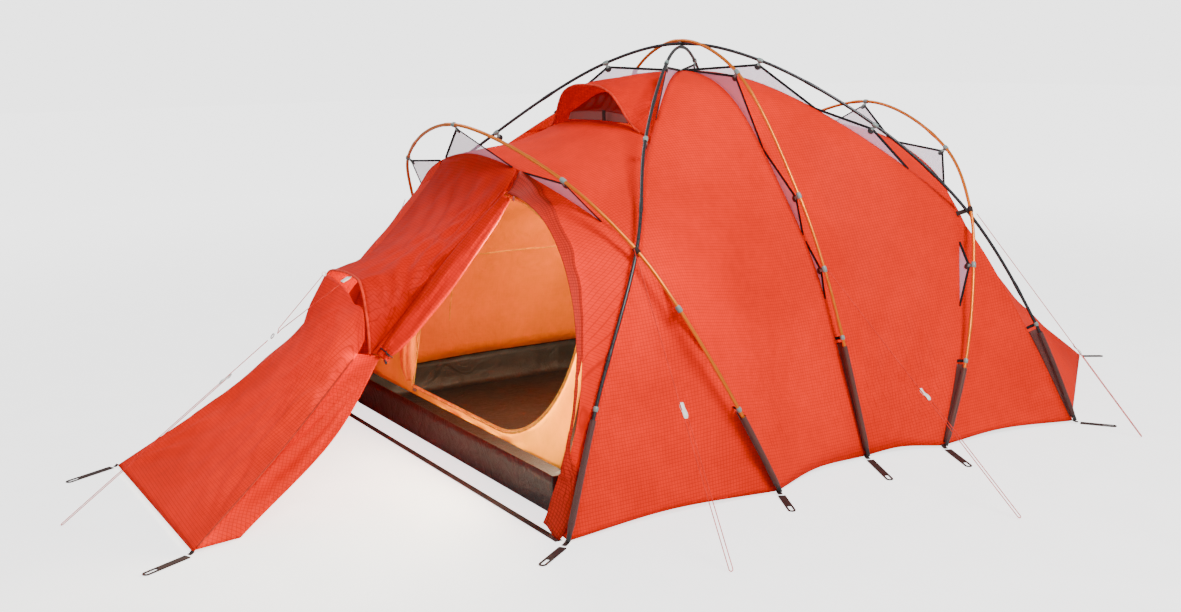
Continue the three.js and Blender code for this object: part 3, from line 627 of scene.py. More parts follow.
FLY = (0.92, 0.021, 0.002)
GLOW = (1.0, 0.022, 0.001)
M_FLY = fabric("fly_ripstop", FLY, through=GLOW, through_share=0.22, cell=0.0095, line_tone=0.70,
               rough=0.55, crinkle=0.14, sheen=0.0, specular=0.06)
M_HOOD = fabric("hood_ripstop", FLY, through=GLOW, through_share=0.42, cell=0.009, line_tone=0.7,
                rough=0.55, crinkle=0.14, sheen=0.0, specular=0.06)
# a darker copy of the fly ripstop for the porch canopy and the rolled door: its colour is painted shade
M_PORCH_SHADED = fabric("porch_ripstop_painted_shade", (0.62, 0.010, 0.001), through=(0.8, 0.016, 0.001), through_share=0.14,
                 cell=0.0095, line_tone=0.68, rough=0.55, crinkle=0.14, sheen=0.0, specular=0.05)
# a darker copy of the fly ripstop for the zip flap: painted shade
M_FLY_BAND_SHADED = fabric("fly_band_painted_shade", (0.60, 0.022, 0.008), through=GLOW, through_share=0.16, cell=0.010,
    line_share=0.2, line_tone=0.45, rough=0.5, crinkle=0.06, sheen=0.0, specular=0.12)
# a dark copy of the fly cloth for the vent's back wall under the hood: painted shade
M_HOOD_WALL_SHADED = fabric("vent_back_wall_painted_shade", (0.34, 0.010, 0.006), through=(0.6, 0.03, 0.01), through_share=0.2,
    cell=0.009, rough=0.5, crinkle=0.3, sheen=0.05, specular=0.3)
# the inner cloth in two copies: the orange one, for the canopy and the door roll, has the orange of light
# through the fly painted in; the pale one, for the walls, has painted sunlight
M_INNER = fabric("inner_cloth", (0.95, 0.235, 0.002), through=(1.0, 0.27, 0.002), through_share=0.35,
    cell=0.012, line_share=0.08, line_tone=0.93, rough=0.45, crinkle=0.9, bump=0.5, sheen=0.0,
    specular=0.25)
M_INNER_SUNLIT = fabric("inner_cloth_painted_light", (0.97, 0.56, 0.055), through=(1.0, 0.64, 0.07),
    through_share=0.55, cell=0.012, line_share=0.08, line_tone=0.95, rough=0.5, crinkle=0.35, sheen=0.0,
    specular=0.2)
M_FLOOR = fabric("floor_cloth", (0.020, 0.020, 0.019), cell=0.010, line_share=0.08, line_tone=0.8, rough=0.38,
                 crinkle=1.0, sheen=0.02, tone=0.3, bump=0.6)
M_FIN = netting("fin_netting", (0.78, 0.58, 0.80), 0.45)
# the vent netting's colour, darkened as painted shade under the hood
M_VENT_MESH_SHADED = netting("vent_netting", (0.34, 0.085, 0.07), 0.86)
M_SLEEVE = netting("foot_sleeve_netting", (0.085, 0.026, 0.022), 0.82)
M_TAPE = webbing("black_tape", (0.012, 0.012, 0.014))
M_TIE = webbing("brown_webbing", (0.040, 0.020, 0.018), rib=0.0022)
M_SEAM = webbing("seam_tape", (0.50, 0.030, 0.012), rib=0.003)
M_BINDING = webbing("hem_binding", (0.86, 0.035, 0.010), rib=0.003)
M_SEAM_PALE = webbing("pale_seam_tape", (0.98, 0.36, 0.02), rib=0.003)
M_YELLOW = webbing("yellow_seam_tape", (0.95, 0.48, 0.04), rib=0.003)
M_CORD = webbing("red_cord", (0.80, 0.030, 0.015), rib=0.004)
M_GREY = anodised("pole_grey_metal", (0.035, 0.037, 0.042), rough=0.30, metallic=0.5)
M_GOLD = anodised("pole_gold_metal", (0.80, 0.19, 0.008), rough=0.38, metallic=0.65)
M_ALU = anodised("bare_metal", (0.48, 0.48, 0.50), rough=0.3, metallic=0.9)
M_CLIP = plastic("clip_grey_green", (0.20, 0.27, 0.26), rough=0.4)
M_TAB = plastic("tab_black", (0.02, 0.02, 0.022), rough=0.4)
M_WHITE = plastic("tensioner_white", (0.85, 0.85, 0.82), rough=0.4)


# ---------------------------------------------------------------- cords first: guylines

CORD_D, LEG_GAP, PEG_Z = 0.0025, 0.011, 0.0065
PLATE_LENGTH, PLATE_BEND = 0.046, 0.0030
# for each side guyline: its top on the fly, the x and y of its peg, and how far down the tensioner sits
GUYS = {
    "front_side": ((0.779, -0.716, 0.742), (1.318, -0.798), 0.53),
    "middle": ((0.692, 0.070, 0.592), (1.463, 0.085), 0.54),
    "rear_side": ((0.690, 0.735, 0.716), (1.176, 1.010), 0.62)}


def tensioner(name, centre, along, side):
    """A bent plastic plate with two holes that the guyline is threaded through."""
    face = unit(np.cross(along, side))
    t = np.linspace(-0.5, 0.5, 15)
    bend = centre + along * (PLATE_LENGTH * t)[:, None] + face * (PLATE_BEND * np.sin(2 * math.pi * t))[:,
        None]
    width = 0.0072 * np.interp(np.abs(t), (0, 0.36, 0.5), (1, 1, 0.72))
    body = [tube(bend, width, 14, flat=(face, 0.24))]
    for q in (-0.33, 0.33):                           # the rims of its two holes
        middle = centre + along * PLATE_LENGTH * q + face * PLATE_BEND * math.sin(2 * math.pi * q)
        body.append(torus(middle, face, 0.0031, 0.0011, 18, 8))
    return place(f"{name}_plate", body, M_WHITE, body=name, node=[name])


def guyline(name, anchor, peg, lock_at):
    """Straight to the peg, round it, and back up to the tensioner."""
    anchor, peg = np.asarray(anchor, float), np.asarray(peg, float)
    along = unit(peg - anchor)
    side = unit(np.cross((0, 0, 1), along))
    r = LEG_GAP / 2
    pts = [anchor + (peg - anchor) * t for t in (0, 0.15, 0.3, 0.45, 0.6, 0.75, 0.9)]
    pts += [peg + side * (r - r * math.cos(a)) + along * r * math.sin(a) for a in np.linspace(0, math.pi, 9)]
    lock = anchor + (peg - anchor) * lock_at
    pts += [peg + (lock - peg) * t + side * LEG_GAP for t in (0.2, 0.4, 0.6, 0.8, 1.0)]
    route = np.array(pts)
    obj = place(name, [tube(route, CORD_D / 2, 8)], M_CORD, node=[name])
    lock_name = name.replace("guyline", "tensioner")
    tensioner(lock_name, lock + side * r, along, side)


SIDES = (("right", 1), ("left", -1))
for key, (top, (x, y), lock_at) in GUYS.items():
    for side_name, s in SIDES:
        guyline(f"guyline_{key}_{side_name}", at(s * top[0], top[1], top[2]), at(s * x, y, PEG_Z), lock_at)
RING_AT = at(0, -1.502, 0.458)
guyline("guyline_front", RING_AT + (0, -0.015, -0.011), at(0.014, -2.140, PEG_Z), 0.22)
legs = [[end + (RING_AT - end) * t for t in (0, 0.5, 0.88)]
        for end in (at(0.095, -1.306, 0.616), at(-0.112, -1.294, 0.606))]
bridle = np.array(legs[0] + [RING_AT + (0, 0.016, 0.006)] + legs[1][::-1])
obj = place("guyline_front_bridle", [tube(bridle, CORD_D / 2, 8)], M_CORD,
    node=["guyline_front_bridle"])


# ---------------------------------------------------------------- poles

POLE_NODES = {"A": "pole_diagonal_front_right", "B": "pole_diagonal_front_left",
              "F": "hoop_front", "M": "hoop_middle", "R": "hoop_rear"}
POLE_R = 0.0058
POLE_STEPS, POLE_SECTIONS, FERRULE_HALF = 170, 8, 0.03
for key, name in POLE_NODES.items():
    dense = POLE[key](steps(900))
    s = arc(dense)

    def walk(distances):
        return np.stack([np.interp(distances, s, dense[:, i]) for i in range(3)], -1)

    parts = [tube(walk(np.linspace(0, s[-1], POLE_STEPS)), POLE_R * 0.94, 14)]
    for k in range(1, POLE_SECTIONS):                 # ferrules where the sections meet, clear of the apex
        c = s[-1] * k / POLE_SECTIONS + (0.05 if 2 * k == POLE_SECTIONS else 0)
        radii = POLE_R * np.array((0.95, 1.06, 1.1, 1.1, 1.1, 1.06, 0.95))
        parts.append(tube(walk(np.linspace(c - FERRULE_HALF, c + FERRULE_HALF, 7)), radii, 14))
    grey_pole = key in "AB"
    place(f"{name}_sections", parts, M_GREY if grey_pole else M_GOLD,
          node=[name], smooth_angle=30)


# ---------------------------------------------------------------- the fly's cloth

def wrinkle(P, amount, seed, scale=0.22, fans=()):
    """Slow unevenness, and creases that fan out from where the cloth is pulled; its edges stay put."""
    n = grid_normals(P)
    uv = plane_uv(P).reshape(P.shape[0], P.shape[1], 2)
    d = amount * noise2(uv[..., 0], uv[..., 1], seed, scale)
    for origin, toward, count, depth, reach in fans:
        o, w = np.asarray(origin, float), unit(toward)
        v = P - o
        dist = np.linalg.norm(v, axis=-1)
        ahead = np.clip(np.einsum("ijk,k->ij", v, w) / np.maximum(dist, 1e-6), -1, 1)
        across = np.einsum("ijk,k->ij", np.cross(v, n), w) / np.maximum(dist, 1e-6)
        wedge = np.clip((ahead - 0.45) / 0.4, 0, 1)
        fade = np.minimum(1, dist / 0.05) * np.exp(-(dist / reach) ** 2)
        d += depth * wedge * fade * np.sin(count * across * 3.2) * np.minimum(1, dist / reach * 2.2)
    i, j = grid_uv(P)
    edge = np.minimum(np.minimum(i, 1 - i) * 9, np.minimum(j, 1 - j) * 9)
    return P + n * (d * np.clip(edge, 0, 1))[..., None]


def hem(a, b, draw):
    """A hem from foot to foot, drawn in and up a little between them."""
    mid = (a + b) / 2 * np.array((1 - draw, 1, 1))
    mid = mid * (1, 1, 0) + (0, 0, 0.015)
    return Rom([a, mid, b])


foot = {"front_corner": A(0)[0], "front": F(0)[0], "middle": M(0)[0], "rear": R(0)[0], "rear_corner": B(1)[0]}
NV = 44
bays = [
    coons(hem(foot["front_corner"], foot["front"], 0.03), line(A(0.2)[0], F(0.3)[0]),
          span(A, 0, 0.2), span(F, 0, 0.3), 16, NV, 0.017, INSIDE),
    coons(hem(foot["front"], foot["middle"], 0.03), span(A, 0.2, 0.5), span(F, 0, 0.3), span(M, 0, 0.5),
          30, NV, 0.034, INSIDE),
    coons(hem(foot["middle"], foot["rear"], 0.02), span(B, 0.5, 0.8), span(M, 0, 0.5), span(R, 0, 0.3),
          30, NV, 0.034, INSIDE),
    coons(hem(foot["rear"], foot["rear_corner"], 0.03), line(R(0.3)[0], B(0.8)[0]),
          span(R, 0, 0.3), span(B, 1, 0.8), 16, NV, 0.017, INSIDE)]
fans = [(point - (0, 0, 0.02), (-0.25, 0, 1), 13, 0.008, 0.36) for point in foot.values()]
side_bays = [wrinkle(b, 0.0022, 11 + k, 0.3, fans) for k, b in enumerate(bays)]
side = np.concatenate([side_bays[0]] + [b[1:] for b in side_bays[1:]])
cloth("fly_right_side_cloth", side, M_FLY, ["fly_right_side"], outward=(1, 0, 0.4), uv=plane_uv(side))
cloth("fly_left_side_cloth", side * MIRROR, M_FLY, ["fly_left_side"], outward=(-1, 0, 0.4))

VENT_T = 0.315
vent_end = A(VENT_T)[0]


def vent_curve(points):
    mids = [at(*p) for p in points]
    return Rom([vent_end, *mids, *[p * MIRROR for p in mids[-2::-1]], vent_end * MIRROR])


vent_sill = vent_curve([(0.330, -0.356, 1.004), (0.262, -0.356, 1.027), (0.200, -0.354, 1.040),
                        (0.100, -0.356, 1.047), (0, -0.358, 1.049)])
vent_brow = vent_curve([(0.330, -0.360, 1.008), (0.262, -0.364, 1.032), (0.228, -0.372, 1.062),
                        (0.192, -0.380, 1.106), (0.154, -0.385, 1.140), (0.090, -0.388, 1.163),
                        (0, -0.390, 1.169)])
roof = coons(span(F, 0.3, 0.7), vent_sill, span(A, 0.2, VENT_T), span(B, 0.2, VENT_T), 44, 20)
u, v = grid_uv(roof)
roof[..., 2] -= 0.026 * np.sin(np.pi * v) * np.sin(np.pi * u)
roof = wrinkle(roof, 0.002, 31, 0.25, [(A(0.2)[0], (-1, 0.5, 0.6), 7, 0.004, 0.3),
                                       (B(0.2)[0], (1, 0.5, 0.6), 7, 0.004, 0.3)])
cloth("fly_front_roof_cloth", roof, M_FLY, ["fly_front_roof"], outward=(0, -0.5, 1))

hood = coons(vent_brow, chain(span(A, 0.375, 0.5), span(B, 0.5, 0.375)),
             span(A, VENT_T, 0.375), span(B, VENT_T, 0.375), 44, 18)
hood = wrinkle(hood, 0.0018, 41, 0.16, [(vent_end, (-0.6, 0.1, 0.8), 11, 0.009, 0.34),
                                        (vent_end * MIRROR, (0.6, 0.1, 0.8), 11, 0.009, 0.34)])
cloth("roof_vent_hood_cloth", hood, M_HOOD, ["roof_vent_hood"], outward=(0, -0.3, 1))

rear_roof = coons(span(R, 0.3, 0.7), chain(span(B, 0.8, 0.5), span(A, 0.5, 0.8)),
                  line(R(0.3)[0], B(0.8)[0]), line(R(0.7)[0], A(0.8)[0]), 48, 22, 0.034, INSIDE)
rear_roof = wrinkle(rear_roof, 0.002, 51, 0.3)
cloth("fly_rear_roof_cloth", rear_roof, M_FLY, ["fly_rear_roof"], outward=(0, 0.3, 1))

tail_stake = at(0.318, 1.795, HEM_Z * MM)


# up the left diagonal, over the rear hoop and down the right diagonal; and the hem from corner to corner
tail_ridge = chain(span(B, 0.995, 0.8), span(R, 0.3, 0.7), span(A, 0.8, 0.995), stops=(0.3, 0.7))
tail_hem = chain(line(foot["rear_corner"], tail_stake), line(tail_stake, tail_stake * MIRROR),
                 line(tail_stake * MIRROR, foot["rear_corner"] * MIRROR), stops=(0.38, 0.62))
tail = between(tail_hem, tail_ridge, 100, 40)
u, v = (w[..., None] for w in grid_uv(tail))
tail = tail + np.array((0, -0.75, -0.66)) * 0.07 * np.sin(np.pi * u) * np.sin(np.pi * v)
tail = wrinkle(tail, 0.002, 61, 0.3, [(tail_stake, (-0.1, -1, 0.9), 8, 0.006, 0.5),
                                      (tail_stake * MIRROR, (0.1, -1, 0.9), 8, 0.006, 0.5)])
cloth("fly_rear_tail_cloth", tail, M_FLY, ["fly_rear_tail"], outward=(0, 1, 0.6))


# ---------------------------------------------------------------- porch

ARCH_LEAN, ARCH_FOOT_Y, ARCH_R, ARCH_X, ARCH_S = math.atan(0.25), -1.050, 0.615, 0.270, 0.280
ARCH_TOP, ARCH_BOTTOM = 92.0, -24.5


def arch_point(radius, degrees):
    """A point on the leaning door arch, or at another radius about its centre."""
    a = np.radians(arr(degrees))
    s = ARCH_S + radius * np.sin(a)
    return np.stack([ARCH_X + radius * np.cos(a), ARCH_FOOT_Y + s * math.sin(ARCH_LEAN),
                     s * math.cos(ARCH_LEAN)], -1) + OFF


def arch_edge(t):
    return arch_point(ARCH_R, ARCH_TOP + (ARCH_BOTTOM - ARCH_TOP) * arr(t))


def closed_arch(t):
    """The edge of the closed left door, drawn in between its ends."""
    return arch_edge(t) * MIRROR + np.array((0.052, 0.044, -0.044)) * np.sin(np.pi * arr(t))[:, None]


side_post = chain(span(F, 0.445, 0.3), span(A, 0.2, 0.0))
surround = between(arch_edge, side_post, 70, 14)
surround = wrinkle(surround, 0.0016, 71, 0.16, [(A(0.01)[0], (-0.1, 0, 1), 7, 0.003, 0.3)])
cloth("porch_door_surround_right_cloth", surround, M_FLY, ["porch_door_surround_right"],
    outward=(0.4, -1, 0.3))
left_surround = between(closed_arch, mirrored(side_post), 60, 12)
cloth("porch_door_surround_left_cloth", wrinkle(left_surround, 0.002, 72, 0.2), M_FLY,
      ["porch_door_surround_left"], outward=(-0.4, -1, 0.3))

# the zip flap: a second layer of ripstop along the door arch, in a darker copy of the fly colour that is
# painted shade
ARCH_OUT = np.array((0, -math.cos(ARCH_LEAN), math.sin(ARCH_LEAN)))
deg = np.linspace(89, -24.3, 90)
widths = steps(6)
ZIP_FLAP_W = 0.078
band = np.stack([arch_point(ARCH_R - 0.004 + ZIP_FLAP_W * w, deg)
                 + ARCH_OUT * (0.004 + 0.012 * math.sin(math.pi * w) + 0.010 * (1 - w)) for w in widths], 1)


def drape_onto(Q, P, lift):
    """Moves grid Q to lie lift outside the nearest points of the cloth grid P."""
    flat = P.reshape(-1, 3)
    n = grid_normals(P).reshape(-1, 3)
    if np.mean(n @ ARCH_OUT) < 0:
        n = -n
    out = Q.copy().reshape(-1, 3)
    for k, q in enumerate(out):
        d = np.linalg.norm(flat - q, axis=1)
        near = np.argsort(d)[:6]
        w = 1 / (d[near] + 0.004) ** 2
        c, m = (flat[near] * w[:, None]).sum(0) / w.sum(), unit((n[near] * w[:, None]).sum(0))
        out[k] = q + m * (lift - (q - c).dot(m))
    return out.reshape(Q.shape)


band = drape_onto(band, surround, 0.0035)
band[:, 0] += ARCH_OUT * 0.004
s_len = arc(band[:, 2])
band_uv = np.stack([np.repeat(s_len, 6), np.tile(widths * ZIP_FLAP_W, len(s_len))], -1)
# the flap in the darker copy of the ripstop: painted shade
cloth("porch_zip_flap", band, M_FLY_BAND_SHADED, (), thickness=0.0016, outward=ARCH_OUT, uv=band_uv)

LIP = [(0.262, -1.300, 0.418), (0.266, -1.302, 0.495), (0.246, -1.300, 0.560), (0.224, -1.297, 0.600),
       (0.188, -1.292, 0.628), (0.100, -1.284, 0.636), (0, -1.276, 0.632), (-0.118, -1.270, 0.614),
       (-0.150, -1.271, 0.588), (-0.172, -1.271, 0.550), (-0.196, -1.271, 0.490), (-0.214, -1.271, 0.416)]
lip = traced(LIP)
arch_top = arch_edge(0.01)[0]

# the canopy's sewn edge: up from the door arch's top, along the front hoop, and down again
canopy_rear = chain(line(arch_top, F(0.45)[0]), span(F, 0.45, 0.55), line(F(0.55)[0], arch_top * MIRROR),
                    stops=(0.08, 0.92))
canopy = coons(canopy_rear, lip, line(arch_top, lip(0)[0]), line(arch_top * MIRROR, lip(1)[0]), 56, 34)
u, v = grid_uv(canopy)
canopy[..., 2] -= 0.096 * np.sin(np.pi * v ** 0.75) * np.sin(np.pi * u)
canopy = wrinkle(canopy, 0.0016, 81, 0.12, [
    (lip(0)[0], (-0.05, 0.9, 0.75), 14, 0.010, 0.55), (arch_top, (-0.1, -1, -0.8), 9, 0.006, 0.30)])
# the canopy in the darker copy of the fly ripstop, its colour painted shade
cloth("porch_canopy_cloth", canopy, M_PORCH_SHADED, ["porch_canopy"], outward=(0, -0.5, 1))

place("porch_lip_binding", [tube(lip(np.linspace(0.01, 0.99, 110)), 0.0042, 8)], M_BINDING)
fitting = at(0.098, -1.300, 0.622)
place("bridle_fittings", [
    rounded_block(fitting, (1, 0, 0), (0, -0.9, -0.44), (0, -0.44, 0.9), (0.022, 0.026, 0.004), 0.0015),
    torus(at(-0.112, -1.290, 0.609), (1, 0.2, 0.2), 0.0065, 0.0016, 22, 8),
    tube([fitting + (0, 0.01, 0.004), fitting + (0, 0.022, 0.010), fitting + (0, 0.034, 0.015)], 0.006, 8,
         flat=((0, -0.44, 0.9), 0.3))], M_WHITE)

stake = at(0.445, -1.892, HEM_Z * MM)


def fold(a, b, drop=(0, 0.006, -0.008)):
    return Rom([a, (a + b) / 2 + np.array(drop), b])


KNEE_LEFT = at(-0.2005, -1.347, 0.404)
left_door = coons(line(closed_arch(1)[0], stake * MIRROR), line(arch_top * MIRROR, lip(1)[0]),
                  lambda t: closed_arch(1 - arr(t)),
                  chain(fold(stake * MIRROR, KNEE_LEFT), line(KNEE_LEFT, lip(1)[0]), stops=(0.88,)),
                  40, 40, 0.02, at(0, -1.1, 0.2))
cloth("porch_door_left_cloth", wrinkle(left_door, 0.003, 91, 0.25,
    [(stake * MIRROR, (0.2, 1, 0.5), 8, 0.006, 0.6)]), M_FLY, ["porch_door_left"], outward=(-1, -0.6, 0.5))

SILL = [(0.256, -1.312, 0.466), (0.252, -1.308, 0.526), (0.230, -1.304, 0.556), (0.154, -1.298, 0.558),
        (0.077, -1.290, 0.584), (-0.051, -1.281, 0.602), (-0.108, -1.278, 0.607), (-0.160, -1.268, 0.600),
        (-0.198, -1.262, 0.556), (-0.214, -1.262, 0.500), (-0.222, -1.262, 0.430)]
KNEE = [(0.236, -1.330, 0.420), (0.232, -1.332, 0.480), (0.206, -1.332, 0.522), (0.140, -1.334, 0.524),
        (0.060, -1.336, 0.512), (-0.030, -1.340, 0.490), (-0.090, -1.343, 0.470), (-0.140, -1.346, 0.448),
        (-0.176, -1.348, 0.428), (-0.192, -1.349, 0.414), (-0.200, -1.349, 0.406)]
sill, knee = traced(SILL), traced(KNEE)
NF, NG, NH = 56, 40, 12
front = coons(line(stake, stake * MIRROR), knee, fold(stake, knee(0)[0]), fold(stake * MIRROR, knee(1)[0]),
    NF, NG)
u, v = (w[..., None] for w in grid_uv(front))
front = front + np.array((0, 0.6, -0.8)) * 0.03 * np.sin(np.pi * v) * np.sin(np.pi * u)
v = steps(NH + 1)[None, 1:, None]
across = steps(NF + 1)
bib = knee(across)[:, None] * (1 - v) + sill(across)[:, None] * v
bib = bib + np.array((-0.35, -1.0, 0.1)) * 0.013 * np.sin(np.pi * v) * np.clip(u * 2.2 - 0.9, 0, 1)
front = np.concatenate([front, bib], 1)
for _ in range(5):                                    # eases the turn at the knee
    front[1:-1, NG - 5:NG + 6] = (front[1:-1, NG - 6:NG + 5] + 2 * front[1:-1, NG - 5:NG + 6]
                                  + front[1:-1, NG - 4:NG + 7]) / 4
front = wrinkle(front, 0.0022, 101, 0.2, [
    (stake, (-0.2, 1, 0.7), 8, 0.006, 0.5), (stake * MIRROR, (0.2, 1, 0.7), 8, 0.006, 0.5),
    (knee(0)[0], (-0.3, -1, -0.7), 9, 0.007, 0.4), (sill(0.3)[0], (-0.5, -0.6, -0.8), 9, 0.004, 0.25)])
cloth("porch_front_panel_cloth", front, M_FLY, ["porch_front_panel"], outward=(0, -1, 0.7))

# the cloth flap that hangs from the toggle, its left edge tucked under the front panel
toggle_at = at(0.288, -1.274, 0.414)
flap_foot = at(0.412, -1.756, HEM_Z * MM)
flap_tip = toggle_at + (0.004, -0.004, 0.008)
flap_top = knee(0)[0] + (-0.026, 0.012, -0.002)
flap = coons(line(stake, flap_foot), line(flap_top, flap_tip),
    fold(stake + (-0.012, 0.003, 0.0), flap_top, (-0.034, 0.012, -0.016)),
    Rom([flap_foot, flap_foot + (flap_tip - flap_foot) * 0.55 + (0.022, 0.036, -0.006), flap_tip]), 16, 44)
flap = wrinkle(flap, 0.002, 111, 0.15, [(flap_tip, (0.2, -0.8, -0.6), 12, 0.009, 0.5)])
cloth("porch_door_flap_cloth", flap, M_FLY, ["porch_door_flap"], outward=(1, -0.3, 0.4))
place("front_panel_zip", [tube(front[0, 1:NG] + (0.001, -0.001, 0.002), 0.0022, 8)], M_SEAM)


# ---------------------------------------------------------------- rolled-back doors

def rolled(name, path, radius, turns, material, nodes, squash=None, folds=0.10, seed=5,
           sewn_to=None):
    """A door rolled up on itself: one sheet wound round a path, with soft folds running along it."""
    P = np.asarray(path, float)
    n, around = len(P), 30
    tangent = unit(np.gradient(P, axis=0))
    side = unit(np.cross(tangent[0], (0, 0, 1.0)))
    theta = 2 * np.pi * turns * steps(around * turns + 1)
    share = 0.32 + 0.68 * theta / theta[-1]
    rng = np.random.default_rng(seed)
    phase = rng.uniform(0, 6, 5)
    grid = np.zeros((n, len(theta), 3))
    for k in range(n):
        side = unit(side - tangent[k] * side.dot(tangent[k]))
        up_k = np.cross(tangent[k], side)
        s = k / (n - 1)
        ripple = 1 + folds * (np.sin(3 * theta + phase[0] + 2.2 * s) * 0.6
            + np.sin(5 * theta + phase[1] - 3.1 * s) * 0.45 + np.sin(9 * theta + phase[2] + 5
            * math.sin(3 * s + phase[3])) * 0.25)
        r = radius[k] * share * ripple
        v = np.cos(theta)[:, None] * side + np.sin(theta)[:, None] * up_k
        q = v * r[:, None]
        if squash is not None:
            d = unit(np.asarray(squash[0], float))
            d = unit(d - tangent[k] * d.dot(tangent[k]))
            flat_share = squash[1][k]
            q = q - d * (q @ d)[:, None] * (1 - flat_share)
            cross = unit(np.cross(d, tangent[k]))
            q = q + cross * (q @ cross)[:, None] * (1 - flat_share) * 0.35
        grid[k] = P[k] + q
    if sewn_to is not None:                           # the outer turn runs on to the edge it hangs from
        w = np.linspace(0, 1, 8)[None, 1:, None]
        ends, start = np.asarray(sewn_to)[:, None], grid[:, -1:]
        bulge = np.array((0.5, -0.35, 0.8)) * 0.012 * np.sin(np.pi * w)
        grid = np.concatenate([grid, start + (ends - start) * w + bulge], 1)
    uv_u, uv_v = arc(grid[n // 2]), arc(P)
    uvs = np.stack([np.tile(uv_u, n), np.repeat(uv_v, len(uv_u))], -1)
    return cloth(name, grid, material, nodes, thickness=0.0011, uv=uvs)


roll_curve = Rom([arch_top + (0.026, -0.016, -0.018), at(0.302, -1.006, 0.690), at(0.302, -1.166, 0.524),
    toggle_at])
t = steps(72)
roll_path = roll_curve(t)
roll_radius = 0.030 * np.interp(t, (0, 0.12, 0.45, 0.75, 0.9, 0.955, 1), (0.45, 0.8, 1.18, 1.10, 0.82,
    0.60, 0.66))
roll_flat = np.interp(t, (0, 0.2, 0.45, 1), (0.62, 0.75, 0.95, 1.0))
share = arc(roll_path) / arc(roll_path)[-1]
# the roll in the darker copy of the fly ripstop, its colour painted shade
rolled("porch_door_roll_cloth", roll_path, roll_radius, 3, M_PORCH_SHADED, ["porch_door_roll"],
       squash=((0.35, -0.5, 0.6), roll_flat), folds=0.19, seed=9,
       sewn_to=line(arch_top, lip(0)[0])(share))

# the tie that gathers the roll
tie_at = roll_curve(0.955)[0]
tie_dir = unit(roll_curve(1.0)[0] - roll_curve(0.91)[0])
place("door_roll_tie", [torus(tie_at, tie_dir, 0.0215, 0.0020, 36, 8),
                        tube([tie_at + (0.016, -0.006, 0.01), tie_at + (0.028, -0.012, 0.004),
                              tie_at + (0.044, -0.010, -0.002)], 0.0016, 8)], M_TAPE)


# ---------------------------------------------------------------- inner tent

FLOOR_X, FLOOR_Y0, FLOOR_Y1, TUB_Z, BASE_Z = 0.735, -0.965, 1.050, 0.122, 0.128
INNER_LEAN, REAR_LEAN = 0.18, -0.33
# y at the ground, lean of the section in y, how wide its left half is, and its right half's x and z in mm
INNER_SECTIONS = [(-0.939, INNER_LEAN, 0.92, [(728, 128), (766, 380), (746, 560), (664, 690), (478, 806),
    (240, 866), (0, 882)]), (-0.470, 0.06, 1, [(726, 128), (694, 380), (628, 560), (540, 700), (390, 840),
    (200, 935), (0, 968)]), (-0.190, 0.02, 1, [(724, 128), (662, 380), (590, 560), (506, 710), (370, 880),
    (190, 1010), (0, 1058)]), (0.060, -0.03, 1, [(722, 128), (646, 380), (572, 560), (490, 720), (360,
    900), (190, 1050), (0, 1104)]), (0.330, -0.08, 1, [(722, 128), (654, 380), (580, 560), (496, 710),
    (360, 870), (186, 1000), (0, 1050)]), (0.640, -0.16, 1, [(722, 128), (668, 380), (592, 560), (500,
    700), (360, 815), (190, 896), (0, 928)]), (1.022, REAR_LEAN,
    1, [(712, 128), (640, 380), (560, 560), (486, 670), (350, 765), (180, 826), (0, 844)])]


def section_arch(half, left, shrink=0.0):
    pts = [(max(x * MM - shrink, 0), 0, z * MM - (shrink if z * MM > BASE_Z else 0)) for x, z in half]
    return Rom(pts + [(-left * x, 0, z) for x, _, z in pts[-2::-1]])


NI, NJ = 64, 72
u = steps(NI + 1)
section_rows = []
for y, lean, left, half in INNER_SECTIONS:
    a = section_arch(half, left)(u)
    a[:, 1] = y + lean * a[:, 2]
    section_rows.append(a + OFF)
section_rows = np.array(section_rows)                 # one row of NI + 1 points per section
ys = np.array([s[0] for s in INNER_SECTIONS])
place_v = (ys - ys[0]) / (ys[-1] - ys[0])
v = steps(NJ + 1)
inner = np.zeros((NI + 1, NJ + 1, 3))
slopes = np.gradient(section_rows, place_v, axis=0)
for j, w in enumerate(v):
    k = min(int(np.searchsorted(place_v, w, side="right")) - 1, len(place_v) - 2)
    h = place_v[k + 1] - place_v[k]
    s = (w - place_v[k]) / h
    inner[:, j] = ((2 * s ** 3 - 3 * s ** 2 + 1) * section_rows[k] + (s ** 3 - 2 * s ** 2 + s) * h * slopes[k]
                   + (-2 * s ** 3 + 3 * s ** 2) * section_rows[k + 1] + (s ** 3 - s ** 2) * h * slopes[k + 1])
inner_n = grid_normals(inner)
if inner_n[NI // 2, NJ // 2, 2] < 0:
    inner_n = -inner_n
U, V = np.meshgrid(u, v, indexing="ij")
shape_in = (0.005 * noise2(U * 2.6, V * 2.0, 7, 0.35) + 0.0035 * noise2(U * 2.6, V * 2.0, 8, 0.13))
shape_in -= 0.006 * np.abs(np.sin(V * np.pi * 6)) - 0.003
edge = np.clip(np.minimum(np.minimum(U, 1 - U) * 8, np.minimum(V, 1 - V) * 8), 0, 1)
inner_cloth_grid = inner - inner_n * (0.003 + (0.006 - np.clip(shape_in, -0.009, 0.009)) * edge)[..., None]
inner_uv = np.stack([(U * 2.7).ravel(), (V * 2.0).ravel()], -1)
# the orange copy of the inner cloth: painted light through the fly
cloth("inner_canopy_cloth", inner_cloth_grid, M_INNER, ["inner_tent_canopy"], outward=None, uv=inner_uv)

